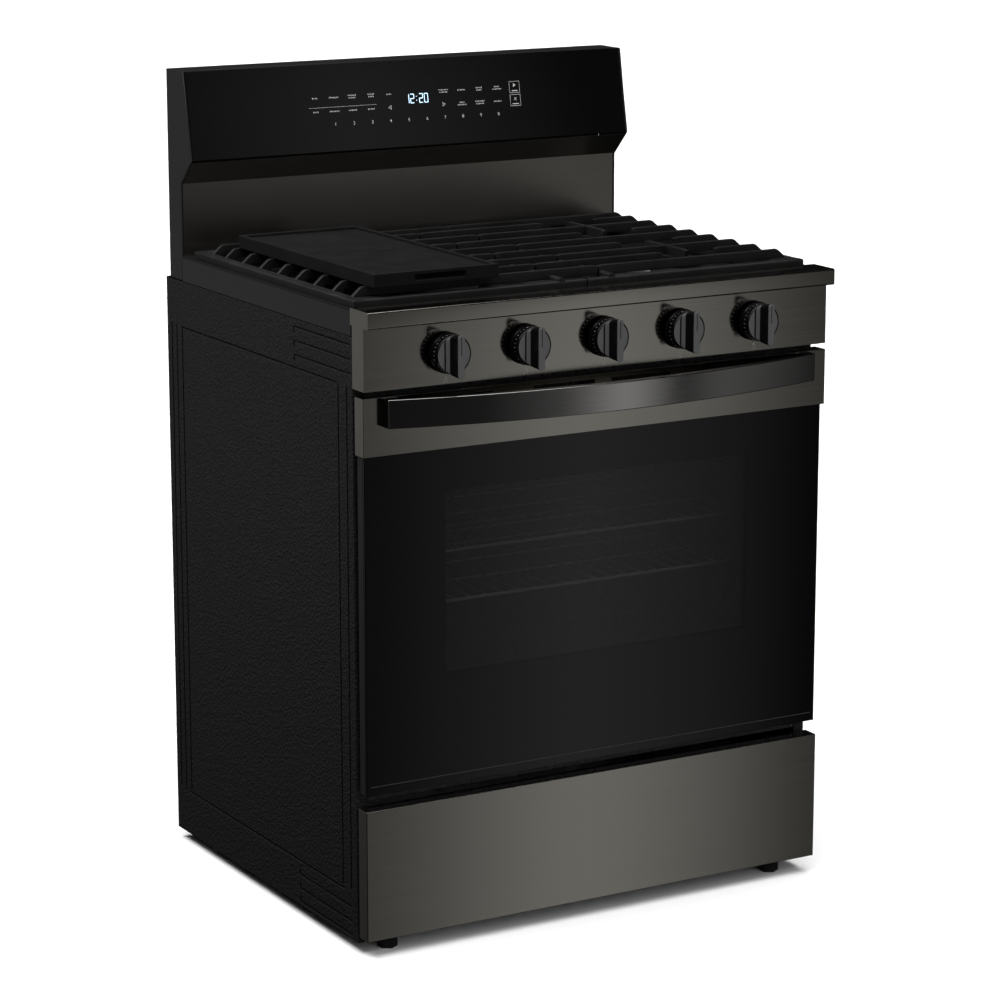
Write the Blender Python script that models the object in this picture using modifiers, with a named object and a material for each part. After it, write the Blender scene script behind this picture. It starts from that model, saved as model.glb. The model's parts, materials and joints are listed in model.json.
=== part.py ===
"""Freestanding gas range with five burners, an oven, a storage drawer and a slanted console.

Metres, +Z up, front towards -Y, origin at the bottom centre of the whole object.
"""
import math

import bmesh
import bpy
from mathutils import Matrix, Vector

# ---------------------------------------------------------------- driving dimensions
GAP = 0.0003                 # left between pieces that touch
SHEET = 0.0010               # folded sheet steel
WELD = 0.00001               # points closer than this are one point
CUT_PAST = 0.010             # how far a cutting block runs past the face it opens
FACING = 0.9                 # least cosine of a face that looks one way
EMPTY_SIZE = 0.03

BODY_WIDTH = 0.754           # over the side panels
BODY_DEPTH = 0.599           # side panels, front edge to rear edge
COOKTOP_Z = 0.915            # rim of the cooktop
PANEL_BOTTOM_Z = 0.016       # lower edge of the side panels
SIDE_FLANGE = 0.018          # turned-in edge of the side panels

TRIM_OVERHANG = 0.0025       # the front trim past the side panels, each side
TRIM_TOP = 0.003             # the front trim above the cooktop rim
TRIM_HEIGHT = 0.024
TRIM_REACH = 0.051           # ahead of the side panels
TRIM_ROUND = 0.003
TRIM_LAP = 0.001             # back of the trim behind the side panels' front edge

CONSOLE_HEIGHT = 0.087       # the panel that carries the knobs
CONSOLE_REACH = 0.034        # ahead of the side panels
CONSOLE_OVERHANG = 0.0005
COOKTOP_SKIRT = 0.037        # cooktop rim down to the seam with the side panels

DOOR_GAP = 0.008             # between the side panels' front edge and the door
DOOR_TO_CONSOLE = 0.009
DOOR_TO_DRAWER = 0.021
BAND_HEIGHT = 0.081          # metal band across the top of the door
BAND_DEPTH = 0.025
BAND_OVERHANG = 0.0015       # past the side panels
GLASS_STEP = 0.005           # the glass stands back from the band
GLASS_THICK = 0.005
GLASS_INSET = 0.002          # the glass stands in from the side panels
DOOR_LINER_THICK = 0.0032
DOOR_LINER_INSET = 0.027
LINER_UP = 0.009             # inner plate above the door's lower edge
LINER_DOWN = 0.013           # inner plate below the top of the door
WINDOW_WIDTH = 0.500
WINDOW_SHARE = 0.542         # of the door glass's height
WINDOW_DROP = 0.060          # top of the window below the band
WINDOW_THICK = 0.005
WINDOW_BACK = 0.001          # inner pane ahead of the inner plate's back
VENT_DROP = 0.007            # slots below the top of the door
VENT_HEIGHT = 0.007
VENTS = ((0.014, 0.112), (0.178, 0.238))
PIVOT_Y_IN = 0.003           # door pivot ahead of the door's back
PIVOT_Z_UP = 0.005           # door pivot above the door's lower edge
HINGE_RADIUS = 0.008
HINGE_THICK = 0.008
HINGE_CLEARANCE = 0.0015
HINGE_X_IN = 0.042           # hinge centre in from the side panels

HANDLE_REACH = 0.064         # bow of the handle ahead of the band
HANDLE_END_REACH = 0.017     # front of the handle's ends ahead of the band
HANDLE_HEIGHT = 0.040
HANDLE_THICK = 0.012
HANDLE_INSET = 0.028         # handle ends in from the side panels
HANDLE_FOOT = 0.022
HANDLE_TOP_DROP = 0.001      # top of the handle below the top of the door

DRAWER_BOTTOM_Z = 0.026
DRAWER_HEIGHT = 0.190
DRAWER_REACH = 0.031         # ahead of the side panels
DRAWER_FRONT_DEPTH = 0.025
DRAWER_BOX_HEIGHT = 0.136
DRAWER_BOX_LIFT = 0.008      # drawer box above the lower edge of the drawer front
DRAWER_BOX_INSET = 0.047
DRAWER_REAR_CLEAR = 0.078

FOOT_RADIUS = 0.0145
FOOT_STEM_RADIUS = 0.004
FOOT_X_IN = 0.052            # foot centre in from the side panels
FOOT_FRONT_IN = 0.010        # foot centre in from the side panels' front edge
FOOT_REAR_IN = 0.030
FOOT_HEAD_GAP = 0.0005
FOOT_STEM_REACH = 0.003      # stem above the base frame
STEM_CLEARANCE = 0.0004
BASE_THICK = 0.004
BASE_MEMBER = 0.050          # width of the base frame's sides
RAIL_WIDTH = 0.008
RAIL_HEIGHT = 0.022

OVEN_SIDE_SPACE = 0.075      # insulation space each side of the oven
OVEN_FLOOR_UP = 0.038        # oven floor above the door's lower edge
OVEN_ROOF_DOWN = 0.060       # oven roof below the console
OVEN_REAR_SPACE = 0.087      # insulation space behind the oven
LEDGE_WIDTH = 0.010
LEDGE_HEIGHT = 0.006
LEDGE_COUNT = 5
LEDGE_FIRST_SHARE = 0.106    # first ledge above the oven floor, of the oven's height
LEDGE_PITCH_SHARE = 0.154
RACK_LEVELS = {"rack_lower": 2, "rack_upper": 3}
RACK_THICK = 0.005
RACK_BORDER = 0.008
RACK_WIRE = 0.004
RACK_PITCH = 0.0255
RACK_SIDE_CLEAR = 0.0035
RACK_FRONT_BACK = 0.063      # rack front behind the side panels' front edge
RACK_REAR_CLEAR = 0.039
GASKET_WIDTH = 0.008
GASKET_OFFSET = 0.004
GASKET_CORNER = 0.015
FRAME_THICK = 0.002
FRAME_OVER_DRAWER = 0.005
FRAME_UNDER_CONSOLE = 0.002

COOKTOP_RIM = 0.007          # rim in from the side panels
COOKTOP_RIM_REAR = 0.023
COOKTOP_SINK = 0.017         # cooking well below the rim
COOKTOP_PLATE = 0.002
WELL_CLEAR = 0.002           # grates in from the well's walls

GRATE_TOP = 0.023            # bar tops above the cooktop rim
BAR_HEIGHT = 0.014
BAR_WIDTH = 0.008
RAIL_TOP = 0.010             # grate rail above the cooktop rim
GRATE_SIDE_RAIL = 0.018
GRATE_END_RAIL = 0.014
INNER_RAIL_WIDTH = 0.010
INNER_RAIL_TOP = 0.015
BAR_FIRST_SHARE = 0.063      # first bar behind the front of the grate, of the grate's depth
BAR_PITCH_SHARE = 0.1111
BAR_LAST_SHARE = 0.0836
BAR_COUNT = 9
BAR_SLOPE = 0.006
SEAM_STAGGER = 0.035         # where bars of the two grates meet, left and right of the middle
SEAM_GAP = 0.002
BURNER_X_SHARE = 0.5955      # of half the body width
BURNER_BREAK = 0.0465        # half of the gap in the bars beside a burner
CROSS_BAR_HALF = 0.054

BURNER_RADII = {"front_left": 0.043, "rear_left": 0.035, "front_right": 0.050, "rear_right": 0.035}
BURNER_BASE_OUT = 0.008
BURNER_HEAD_HEIGHT = 0.0135
BURNER_BASE_HEIGHT = 0.004
BURNER_BASE_TOP = 0.006      # where the sloping base meets the burner's wall
BURNER_THROAT = 0.012
THROAT_LENGTH = 0.016
CAP_HEIGHT = 0.0065
CAP_CHAMFER = 0.002
CAP_OVERHANG = 0.003
OVAL_LENGTH = 0.200
OVAL_WIDTH = 0.052

GRIDDLE_WIDTH = 0.195
GRIDDLE_DEPTH_SHARE = 0.824  # of the grate's depth
GRIDDLE_HEIGHT = 0.019
GRIDDLE_WALL = 0.006
GRIDDLE_FLOOR = 0.014
GRIDDLE_X_IN = 0.033         # griddle in from the grate's outer edge
GRIDDLE_Y_IN = 0.005
GRIDDLE_SLOT_SHARE = (0.33, 0.73)
GRIDDLE_SLOT_HEIGHT = 0.008
GRIDDLE_SLOT_DEPTH = 0.003

BACKGUARD_HEIGHT = 0.273     # above the cooktop rim
BACKGUARD_INSET = 0.0015
BACKGUARD_REAR_IN = 0.012    # in from the side panels' rear edge
BACKGUARD_TOP_DEPTH = 0.057
BACKGUARD_LIP_DEPTH = 0.081
BACKGUARD_LIP_UP = 0.144     # lip above the cooktop rim
BACKGUARD_FOOT_DEPTH = 0.043
BACKGUARD_FOOT_UP = 0.107    # lower strip's top above the cooktop rim
END_CAP = 0.003
CONSOLE_GLASS = 0.004
STRIP_TO_GLASS = 0.0009
STRIP_CORNER = 0.0004        # inner corner of the folded strip above its outer corner

KNOB_PITCH_SHARE = 0.1671    # of the body width
KNOB_COUNT = 5
KNOB_DROP = 0.043            # knob centre below the console's top
KNOB_SKIRT_RADIUS = 0.0285
KNOB_SKIRT_THICK = 0.004
KNOB_RADIUS = 0.0255
KNOB_DEPTH = 0.0195
KNOB_CHAMFER = 0.002
KNOB_STAND_OFF = 0.0045
GRIP_WIDTH = 0.012
GRIP_LENGTH = 0.060
GRIP_BACK = 0.012
GRIP_FRONT = 0.040
GRIP_FOOT_WIDTH = 0.026      # the grip where it widens to meet the knob's face
GRIP_FOOT_LENGTH = 0.044
GRIP_FOOT_FRONT = 0.026
STEM_RADIUS = 0.004
STEM_BORE_DEPTH = 0.012
STEM_PUSH = 0.004
STEM_END_ROOM = 0.002
STEM_REAR_IN = 0.013         # rear end of the stems behind the side panels' front edge
PANEL_HOLE_RADIUS = 0.0065
MANIFOLD_SIZE = 0.018
MANIFOLD_Y_IN = 0.038
MANIFOLD_X_IN = 0.055        # ends of the manifold in from the side panels
VALVE_WIDTH = 0.024
VALVE_HEIGHT = 0.026
VALVE_Y_IN = 0.0065

OVEN_TUBE_RADIUS = 0.008
BROIL_DROP = 0.022           # broil burner below the oven roof
BROIL_HALF_WIDTH = 0.090
BROIL_FRONT_IN = 0.100
BAKE_TUBE_RADIUS = 0.012
BAKE_DROP = 0.024
BAKE_FRONT_IN = 0.058        # front of the bake burner behind the oven's mouth
LAMP_RADIUS = 0.028
LAMP_DEPTH = 0.022
LAMP_X_IN = 0.087            # lamp centre in from the oven's wall
LAMP_PROFILE = ((0, 1), (0.6, 0.85), (1, 0.3), (1, 0), (0, 0))   # shares of its radius and depth
LAMP_DROP = 0.090
PIPE_RADIUS = 0.006
PIPE_X_IN = 0.127
PIPE_BEND = 0.025
REGULATOR_RADIUS = 0.022
REGULATOR_LENGTH = 0.030
REGULATOR_REACH = 0.010      # regulator behind the pipe's axis
REGULATOR_Z = 0.110
PIPE_REAR_IN = 0.038
INLET_HOLE_RADIUS = 0.016
INLET_RADIUS = 0.011

# ---------------------------------------------------------------- places worked out from them
FRONT_REACH = DOOR_GAP + BAND_DEPTH + HANDLE_REACH
FRONT_Y = (FRONT_REACH - BODY_DEPTH) / 2
REAR_Y = FRONT_Y + BODY_DEPTH
SIDE_X = BODY_WIDTH / 2
INNER_X = SIDE_X - SHEET - GAP

SEAM_Z = COOKTOP_Z - COOKTOP_SKIRT
TRIM_TOP_Z = COOKTOP_Z + TRIM_TOP
CONSOLE_TOP_Z = TRIM_TOP_Z - TRIM_HEIGHT
CONSOLE_BOTTOM_Z = CONSOLE_TOP_Z - CONSOLE_HEIGHT
DOOR_TOP_Z = CONSOLE_BOTTOM_Z - DOOR_TO_CONSOLE
BAND_BOTTOM_Z = DOOR_TOP_Z - BAND_HEIGHT
DRAWER_TOP_Z = DRAWER_BOTTOM_Z + DRAWER_HEIGHT
DOOR_BOTTOM_Z = DRAWER_TOP_Z + DOOR_TO_DRAWER
DOOR_BACK_Y = FRONT_Y - DOOR_GAP
BAND_FRONT_Y = DOOR_BACK_Y - BAND_DEPTH
GLASS_FRONT_Y = BAND_FRONT_Y + GLASS_STEP
GLASS_BACK_Y = GLASS_FRONT_Y + GLASS_THICK
LINER_BACK_Y = DOOR_BACK_Y + GAP + DOOR_LINER_THICK
CONSOLE_FRONT_Y = FRONT_Y - CONSOLE_REACH
PIVOT = Vector((0, DOOR_BACK_Y - PIVOT_Y_IN, DOOR_BOTTOM_Z + PIVOT_Z_UP))

FRAME_FRONT_Y = FRONT_Y + SHEET + GAP
FRAME_BACK_Y = FRAME_FRONT_Y + FRAME_THICK
FRAME_BOTTOM_Z = DRAWER_TOP_Z + FRAME_OVER_DRAWER
OVEN_FRONT_Y = FRAME_BACK_Y + GAP
OVEN_BACK_Y = REAR_Y - OVEN_REAR_SPACE
OVEN_X = SIDE_X - OVEN_SIDE_SPACE
OVEN_FLOOR_Z = DOOR_BOTTOM_Z + OVEN_FLOOR_UP
OVEN_ROOF_Z = CONSOLE_BOTTOM_Z - OVEN_ROOF_DOWN
OVEN_HEIGHT = OVEN_ROOF_Z - OVEN_FLOOR_Z
LAMP_X = OVEN_X - LAMP_X_IN
PIPE_X = SIDE_X - PIPE_X_IN

WELL_Z = COOKTOP_Z - COOKTOP_SINK
WELL_X = SIDE_X - COOKTOP_RIM
BACKGUARD_REAR_Y = REAR_Y - BACKGUARD_REAR_IN
BACKGUARD_X = SIDE_X - BACKGUARD_INSET
BACKGUARD_TOP_Z = COOKTOP_Z + BACKGUARD_HEIGHT
STRIP_Y = BACKGUARD_REAR_Y - BACKGUARD_FOOT_DEPTH
STRIP_TOP_Z = COOKTOP_Z + BACKGUARD_FOOT_UP
LIP_Y = BACKGUARD_REAR_Y - BACKGUARD_LIP_DEPTH
LIP_Z = COOKTOP_Z + BACKGUARD_LIP_UP
TOP_FRONT_Y = BACKGUARD_REAR_Y - BACKGUARD_TOP_DEPTH
COOKTOP_FRONT_Y = FRONT_Y + TRIM_LAP + GAP
COOKTOP_REAR_Y = STRIP_Y - GAP
WELL_FRONT_Y = COOKTOP_FRONT_Y + COOKTOP_RIM
WELL_REAR_Y = COOKTOP_REAR_Y - COOKTOP_RIM_REAR

GRATE_X = WELL_X - WELL_CLEAR
GRATE_FRONT_Y = WELL_FRONT_Y + WELL_CLEAR
GRATE_REAR_Y = WELL_REAR_Y - WELL_CLEAR
GRATE_FLOOR_Z = WELL_Z + GAP
BAR_TOP_Z = COOKTOP_Z + GRATE_TOP
BAR_BOTTOM_Z = BAR_TOP_Z - BAR_HEIGHT
GRATE_DEPTH = GRATE_REAR_Y - GRATE_FRONT_Y
BARS_Y = [GRATE_FRONT_Y + (BAR_FIRST_SHARE + i * BAR_PITCH_SHARE) * GRATE_DEPTH for i in range(BAR_COUNT - 1)]
BARS_Y.append(BARS_Y[-1] + BAR_LAST_SHARE * GRATE_DEPTH)
BURNERS_Y = {"front": BARS_Y[2], "rear": BARS_Y[6]}
BURNER_X = SIDE_X * BURNER_X_SHARE
OVAL_Y = BARS_Y[BAR_COUNT // 2]
GRIDDLE_DEPTH = GRATE_DEPTH * GRIDDLE_DEPTH_SHARE

KNOB_Z = CONSOLE_TOP_Z - KNOB_DROP
KNOBS_X = [(i - (KNOB_COUNT - 1) / 2) * KNOB_PITCH_SHARE * BODY_WIDTH for i in range(KNOB_COUNT)]
KNOB_BACK_Y = CONSOLE_FRONT_Y - KNOB_STAND_OFF
SIDES = {"left": -1, "right": 1}

FINISHES = {                 # base colour, roughness, metallic
    "black_steel": ((0.105, 0.098, 0.088), 0.32, 1.0),
    "textured_black": ((0.012, 0.012, 0.012), 0.55, 0.0),
    "gloss_black": ((0.008, 0.008, 0.008), 0.08, 0.0),
    "black_glass": ((0.006, 0.006, 0.006), 0.03, 0.0),
    "cast_iron": ((0.020, 0.020, 0.021), 0.62, 0.0),
    "enamel": ((0.030, 0.030, 0.034), 0.25, 0.0),
    "galvanised": ((0.48, 0.49, 0.50), 0.42, 1.0),
    "bright_steel": ((0.60, 0.60, 0.60), 0.28, 1.0),
    "aluminium": ((0.55, 0.55, 0.56), 0.38, 1.0),
    "brass": ((0.62, 0.46, 0.18), 0.35, 1.0),
    "knob_black": ((0.018, 0.018, 0.018), 0.30, 0.0),
    "plastic": ((0.025, 0.025, 0.025), 0.50, 0.0),
    "fibre": ((0.16, 0.15, 0.14), 0.90, 0.0),
    "lamp_glass": ((0.80, 0.80, 0.76), 0.20, 0.0),
}


# ---------------------------------------------------------------- modelling helpers
def clear_scene():
    for obj in list(bpy.data.objects):
        bpy.data.objects.remove(obj, do_unlink=True)


def make_collection(name):
    collection = bpy.data.collections.new(name)
    bpy.context.scene.collection.children.link(collection)
    return collection


def new_object(name, mesh, collection, origin):
    mesh.transform(Matrix.Translation(-Vector(origin)))
    obj = bpy.data.objects.new(name, mesh)
    obj.location = origin
    collection.objects.link(obj)
    return obj


def part(name, mesh, finish, origin=(0, 0, 0)):
    """A finished piece, in a material of its own."""
    colour, roughness, metallic = FINISHES[finish]
    material = bpy.data.materials.new(name)
    material.use_nodes = True
    shader = material.node_tree.nodes["Principled BSDF"]
    shader.inputs["Base Color"].default_value = (*colour, 1)
    shader.inputs["Roughness"].default_value = roughness
    shader.inputs["Metallic"].default_value = metallic
    mesh.name = name
    mesh.materials.append(material)
    return new_object(name, mesh, PARTS, origin)


def tool(name, mesh):
    """A solid that only cuts or joins another."""
    obj = new_object(name, mesh, CUTTERS, (0, 0, 0))
    obj.hide_render = True
    obj.display_type = "WIRE"
    return obj


def combine(obj, other, operation, overlapping=False):
    modifier = obj.modifiers.new(operation.title(), "BOOLEAN")
    modifier.operation = operation
    modifier.solver = "EXACT"
    modifier.use_self = overlapping
    modifier.object = other
    return obj


def cut(obj, mesh):
    return combine(obj, tool(obj.name + "_cutter", mesh), "DIFFERENCE")


def join(obj, mesh):
    return combine(obj, tool(obj.name + "_joined", mesh), "UNION", overlapping=True)


def parent_to(empty, *objects):
    for obj in objects:
        obj.parent = empty
        obj.location = Vector(obj.location) - empty.location


def joint_empty(name, location):
    empty = bpy.data.objects.new(name, None)
    empty.empty_display_size = EMPTY_SIZE
    empty.location = location
    PARTS.objects.link(empty)
    return empty


def mesh_from(bm, name="piece"):
    mesh = bpy.data.meshes.new(name)
    bm.to_mesh(mesh)
    bm.free()
    return mesh


def add_box(bm, low, high):
    low, high = Vector(low), Vector(high)
    scale = Matrix.Diagonal((*(high - low), 1))
    return bmesh.ops.create_cube(bm, size=1, matrix=Matrix.Translation((low + high) / 2) @ scale)["verts"]


def boxes(*corners):
    """One mesh of boxes, each given by its low and high corner."""
    bm = bmesh.new()
    for low, high in corners:
        add_box(bm, low, high)
    return mesh_from(bm)


def cylinders(centres, radius, length, axis, segments=24):
    """One mesh of equal cylinders along an axis."""
    turn = Vector((0, 0, 1)).rotation_difference(Vector(axis)).to_matrix().to_4x4()
    bm = bmesh.new()
    for centre in centres:
        bmesh.ops.create_cone(bm, cap_ends=True, segments=segments, radius1=radius, radius2=radius,
                              depth=length, matrix=Matrix.Translation(centre) @ turn)
    return mesh_from(bm)


def tray(name, low, high, open_side, finish, wall=SHEET, origin=(0, 0, 0)):
    """A box of sheet that is open on one side."""
    bm = bmesh.new()
    add_box(bm, low, high)
    bm.normal_update()
    open_side = Vector(open_side)
    bmesh.ops.delete(bm, geom=[f for f in bm.faces if f.normal.dot(open_side) > FACING], context="FACES")
    obj = part(name, mesh_from(bm), finish, origin)
    modifier = obj.modifiers.new("Sheet", "SOLIDIFY")
    modifier.thickness = wall
    modifier.offset = -1
    modifier.use_even_offset = True
    return obj


def evaluated_mesh(curve, orient):
    """The mesh of a curve, welded, closed and turned into place."""
    obj = bpy.data.objects.new("curve", curve)
    bpy.context.scene.collection.objects.link(obj)
    depsgraph = bpy.context.evaluated_depsgraph_get()
    mesh = bpy.data.meshes.new_from_object(obj.evaluated_get(depsgraph))
    bpy.data.objects.remove(obj)
    bm = bmesh.new()
    bm.from_mesh(mesh)
    bmesh.ops.remove_doubles(bm, verts=bm.verts, dist=WELD)
    bmesh.ops.recalc_face_normals(bm, faces=bm.faces)
    bm.transform(orient)
    bm.to_mesh(mesh)
    bm.free()
    mesh.materials.clear()
    return mesh


def add_spline(curve, points, cyclic):
    spline = curve.splines.new("POLY")
    spline.points.add(len(points) - 1)
    for place, point in zip(spline.points, points):
        place.co = (*point, 0, 1) if len(point) == 2 else (*point, 1)
    spline.use_cyclic_u = cyclic


ALONG_Z = Matrix.Identity(3)
ALONG_X = Matrix(((0, 0, 1), (1, 0, 0), (0, 1, 0)))
ALONG_Y = Matrix(((1, 0, 0), (0, 0, -1), (0, 1, 0)))


def extruded(outlines, start, end, direction=ALONG_Z):
    """Flat outlines, the inner ones holes, pushed from start to end along the direction."""
    curve = bpy.data.curves.new("outline", "CURVE")
    curve.dimensions = "2D"
    curve.fill_mode = "BOTH"
    curve.extrude = abs(end - start) / 2
    for outline in outlines:
        add_spline(curve, outline, True)
    lift = Matrix.Translation(direction @ Vector((0, 0, (start + end) / 2)))
    return evaluated_mesh(curve, lift @ direction.to_4x4())


def tube(points, radius):
    curve = bpy.data.curves.new("tube", "CURVE")
    curve.dimensions = "3D"
    curve.bevel_depth = radius
    curve.bevel_resolution = 2
    curve.use_fill_caps = True
    add_spline(curve, points, False)
    return evaluated_mesh(curve, Matrix.Identity(4))


def turned(name, profile, finish, origin, axis=(0, 0, 1), steps=32):
    """A profile of (radius, height) points from the top of the axis to its bottom, turned round."""
    mesh = bpy.data.meshes.new(name)
    points = [(radius, 0, height) for radius, height in profile]
    mesh.from_pydata(points, [(i, i + 1) for i in range(len(points) - 1)], [])
    obj = part(name, mesh, finish)
    obj.location = origin
    obj.rotation_euler = Vector((0, 0, 1)).rotation_difference(Vector(axis)).to_euler()
    modifier = obj.modifiers.new("Turned", "SCREW")
    modifier.steps = steps
    modifier.render_steps = steps
    modifier.use_merge_vertices = True
    modifier.merge_threshold = WELD
    modifier.use_smooth_shade = True
    return obj


def arc(centre, radius, start, end, steps):
    """Points of an arc, angles in degrees."""
    angles = [math.radians(start + (end - start) * i / steps) for i in range(steps + 1)]
    return [(centre[0] + radius * math.cos(a), centre[1] + radius * math.sin(a)) for a in angles]


def rectangle(low, high):
    return [low, (high[0], low[1]), high, (low[0], high[1])]


def rounded_rectangle(low, high, radius, steps=5):
    corners = [((high[0] - radius, high[1] - radius), 0), ((low[0] + radius, high[1] - radius), 90),
               ((low[0] + radius, low[1] + radius), 180), ((high[0] - radius, low[1] + radius), 270)]
    return [point for centre, start in corners for point in arc(centre, radius, start, start + 90, steps)]


# ---------------------------------------------------------------- body
def build_side_panels():
    for side, sign in SIDES.items():
        low = (min(sign * SIDE_X, sign * (SIDE_X - SIDE_FLANGE)), FRONT_Y, PANEL_BOTTOM_Z)
        high = (max(sign * SIDE_X, sign * (SIDE_X - SIDE_FLANGE)), REAR_Y, SEAM_Z)
        tray("side_panel_" + side, low, high, (-sign, 0, 0), "textured_black")


def build_rear_panel():
    half = SIDE_X - SIDE_FLANGE - GAP
    low = (-half, REAR_Y - 2 * SHEET, PANEL_BOTTOM_Z + SIDE_FLANGE)
    obj = part("rear_panel", boxes((low, (half, REAR_Y - SHEET, SEAM_Z - 2 * GAP))), "galvanised")
    cut(obj, cylinders([(PIPE_X, REAR_Y, REGULATOR_Z)], INLET_HOLE_RADIUS, 2 * CUT_PAST, (0, 1, 0)))


def foot_places():
    rows = {"front": FRONT_Y + FOOT_FRONT_IN, "rear": REAR_Y - FOOT_REAR_IN}
    return {row + "_" + side: (sign * (SIDE_X - FOOT_X_IN), y)
            for row, y in rows.items() for side, sign in SIDES.items()}


def build_base_frame():
    bottom = PANEL_BOTTOM_Z + SHEET + GAP
    top = bottom + BASE_THICK
    front, rear = FRONT_Y + SHEET + GAP, REAR_Y - 2 * SHEET - GAP
    outer = rectangle((-INNER_X, front), (INNER_X, rear))
    inner = rectangle((-INNER_X + BASE_MEMBER, front + BASE_MEMBER / 2),
                      (INNER_X - BASE_MEMBER, rear - BASE_MEMBER))
    obj = part("base_frame", extruded([outer, inner], bottom, top), "galvanised")
    rail_x = SIDE_X - DRAWER_BOX_INSET + RAIL_WIDTH
    rails = [((sign * rail_x - RAIL_WIDTH / 2, front, bottom + GAP),
              (sign * rail_x + RAIL_WIDTH / 2, rear, top + RAIL_HEIGHT)) for sign in SIDES.values()]
    join(obj, boxes(*rails))
    holes = [(x, y, bottom) for x, y in foot_places().values()]
    cut(obj, cylinders(holes, FOOT_STEM_RADIUS + STEM_CLEARANCE, 2 * CUT_PAST, (0, 0, 1), 16))


def build_feet():
    head = PANEL_BOTTOM_Z + SHEET + GAP - FOOT_HEAD_GAP
    stem_top = PANEL_BOTTOM_Z + SHEET + GAP + BASE_THICK + FOOT_STEM_REACH
    for place, (x, y) in foot_places().items():
        obj = part("foot_" + place, cylinders([(x, y, head / 2)], FOOT_RADIUS, head, (0, 0, 1), 6),
                   "plastic", (x, y, 0))
        stem = head / 2
        join(obj, cylinders([(x, y, (stem + stem_top) / 2)], FOOT_STEM_RADIUS, stem_top - stem, (0, 0, 1), 16))


def build_front_trim():
    half = SIDE_X + TRIM_OVERHANG
    bm = bmesh.new()
    add_box(bm, (-half, FRONT_Y - TRIM_REACH, CONSOLE_TOP_Z + GAP), (half, FRONT_Y + TRIM_LAP, TRIM_TOP_Z))
    front = [e for e in bm.edges if all(v.co.y < FRONT_Y - TRIM_REACH / 2 for v in e.verts)
             and abs(e.verts[0].co.z - e.verts[1].co.z) < GAP]
    bmesh.ops.bevel(bm, geom=front, offset=TRIM_ROUND, segments=3, profile=0.5, affect="EDGES")
    bm.normal_update()
    bmesh.ops.delete(bm, geom=[f for f in bm.faces if f.normal.y > FACING], context="FACES")
    obj = part("front_trim", mesh_from(bm), "black_steel")
    modifier = obj.modifiers.new("Sheet", "SOLIDIFY")
    modifier.thickness = SHEET
    modifier.offset = -1
    modifier.use_even_offset = True


def build_control_panel():
    half = SIDE_X + CONSOLE_OVERHANG
    obj = tray("control_panel", (-half, CONSOLE_FRONT_Y, CONSOLE_BOTTOM_Z),
               (half, FRONT_Y - GAP, CONSOLE_TOP_Z),
               (0, 1, 0), "black_steel")
    holes = [(x, CONSOLE_FRONT_Y, KNOB_Z) for x in KNOBS_X]
    cut(obj, cylinders(holes, PANEL_HOLE_RADIUS, 2 * CUT_PAST, (0, 1, 0)))


def build_cooktop():
    skirt_low = (-SIDE_X, COOKTOP_FRONT_Y, SEAM_Z + GAP)
    obj = part("cooktop", boxes((skirt_low, (SIDE_X, COOKTOP_REAR_Y, COOKTOP_Z))), "gloss_black")
    hollow_x = SIDE_X - 2 * SHEET
    cut(obj, boxes(((-hollow_x, COOKTOP_FRONT_Y + 2 * SHEET, 0),
                    (hollow_x, COOKTOP_REAR_Y - 2 * SHEET, WELL_Z - COOKTOP_PLATE))))
    cut(obj, boxes(((-WELL_X, WELL_FRONT_Y, WELL_Z), (WELL_X, WELL_REAR_Y, COOKTOP_Z + CUT_PAST))))
    throats = [(x, y, WELL_Z) for x, y, _ in round_burners().values()] + [(0, OVAL_Y, WELL_Z)]
    cut(obj, cylinders(throats, BURNER_THROAT + STEM_CLEARANCE, 2 * CUT_PAST, (0, 0, 1)))


# ---------------------------------------------------------------- burners, grates and griddle
def round_burners():
    """Centre and radius of each round burner."""
    return {row + "_" + side: (sign * BURNER_X, BURNERS_Y[row], BURNER_RADII[row + "_" + side])
            for row in BURNERS_Y for side, sign in SIDES.items()}


def stadium(length, width, centre_y):
    reach = (length - width) / 2
    front_end = arc((0, centre_y - reach), width / 2, 180, 360, 12)
    return arc((0, centre_y + reach), width / 2, 0, 180, 12) + front_end


def build_burners():
    floor = WELL_Z + GAP
    for place, (x, y, radius) in round_burners().items():
        base = radius + BURNER_BASE_OUT
        profile = [(0, BURNER_HEAD_HEIGHT), (radius, BURNER_HEAD_HEIGHT), (radius, BURNER_BASE_TOP),
                   (base, BURNER_BASE_HEIGHT), (base, 0), (BURNER_THROAT, 0), (BURNER_THROAT, -THROAT_LENGTH),
                   (0, -THROAT_LENGTH)]
        turned("burner_head_" + place, profile, "aluminium", (x, y, floor))
        rim = radius + CAP_OVERHANG
        cap = [(0, CAP_HEIGHT), (rim - CAP_CHAMFER, CAP_HEIGHT), (rim, CAP_HEIGHT - CAP_CHAMFER),
               (rim, 0), (0, 0)]
        turned("burner_cap_" + place, cap, "cast_iron", (x, y, floor + BURNER_HEAD_HEIGHT + GAP))
    outline = stadium(OVAL_LENGTH, OVAL_WIDTH, OVAL_Y)
    head = part("burner_head_centre", extruded([outline], floor, floor + BURNER_HEAD_HEIGHT), "aluminium")
    throat_z = floor + BURNER_BASE_HEIGHT - (THROAT_LENGTH + BURNER_BASE_HEIGHT) / 2
    throat_length = THROAT_LENGTH + BURNER_BASE_HEIGHT
    join(head, cylinders([(0, OVAL_Y, throat_z)], BURNER_THROAT, throat_length, (0, 0, 1)))
    cap_low = floor + BURNER_HEAD_HEIGHT + GAP
    outline = stadium(OVAL_LENGTH + 2 * CAP_OVERHANG, OVAL_WIDTH + 2 * CAP_OVERHANG, OVAL_Y)
    part("burner_cap_centre", extruded([outline], cap_low, cap_low + CAP_HEIGHT), "cast_iron")


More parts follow.
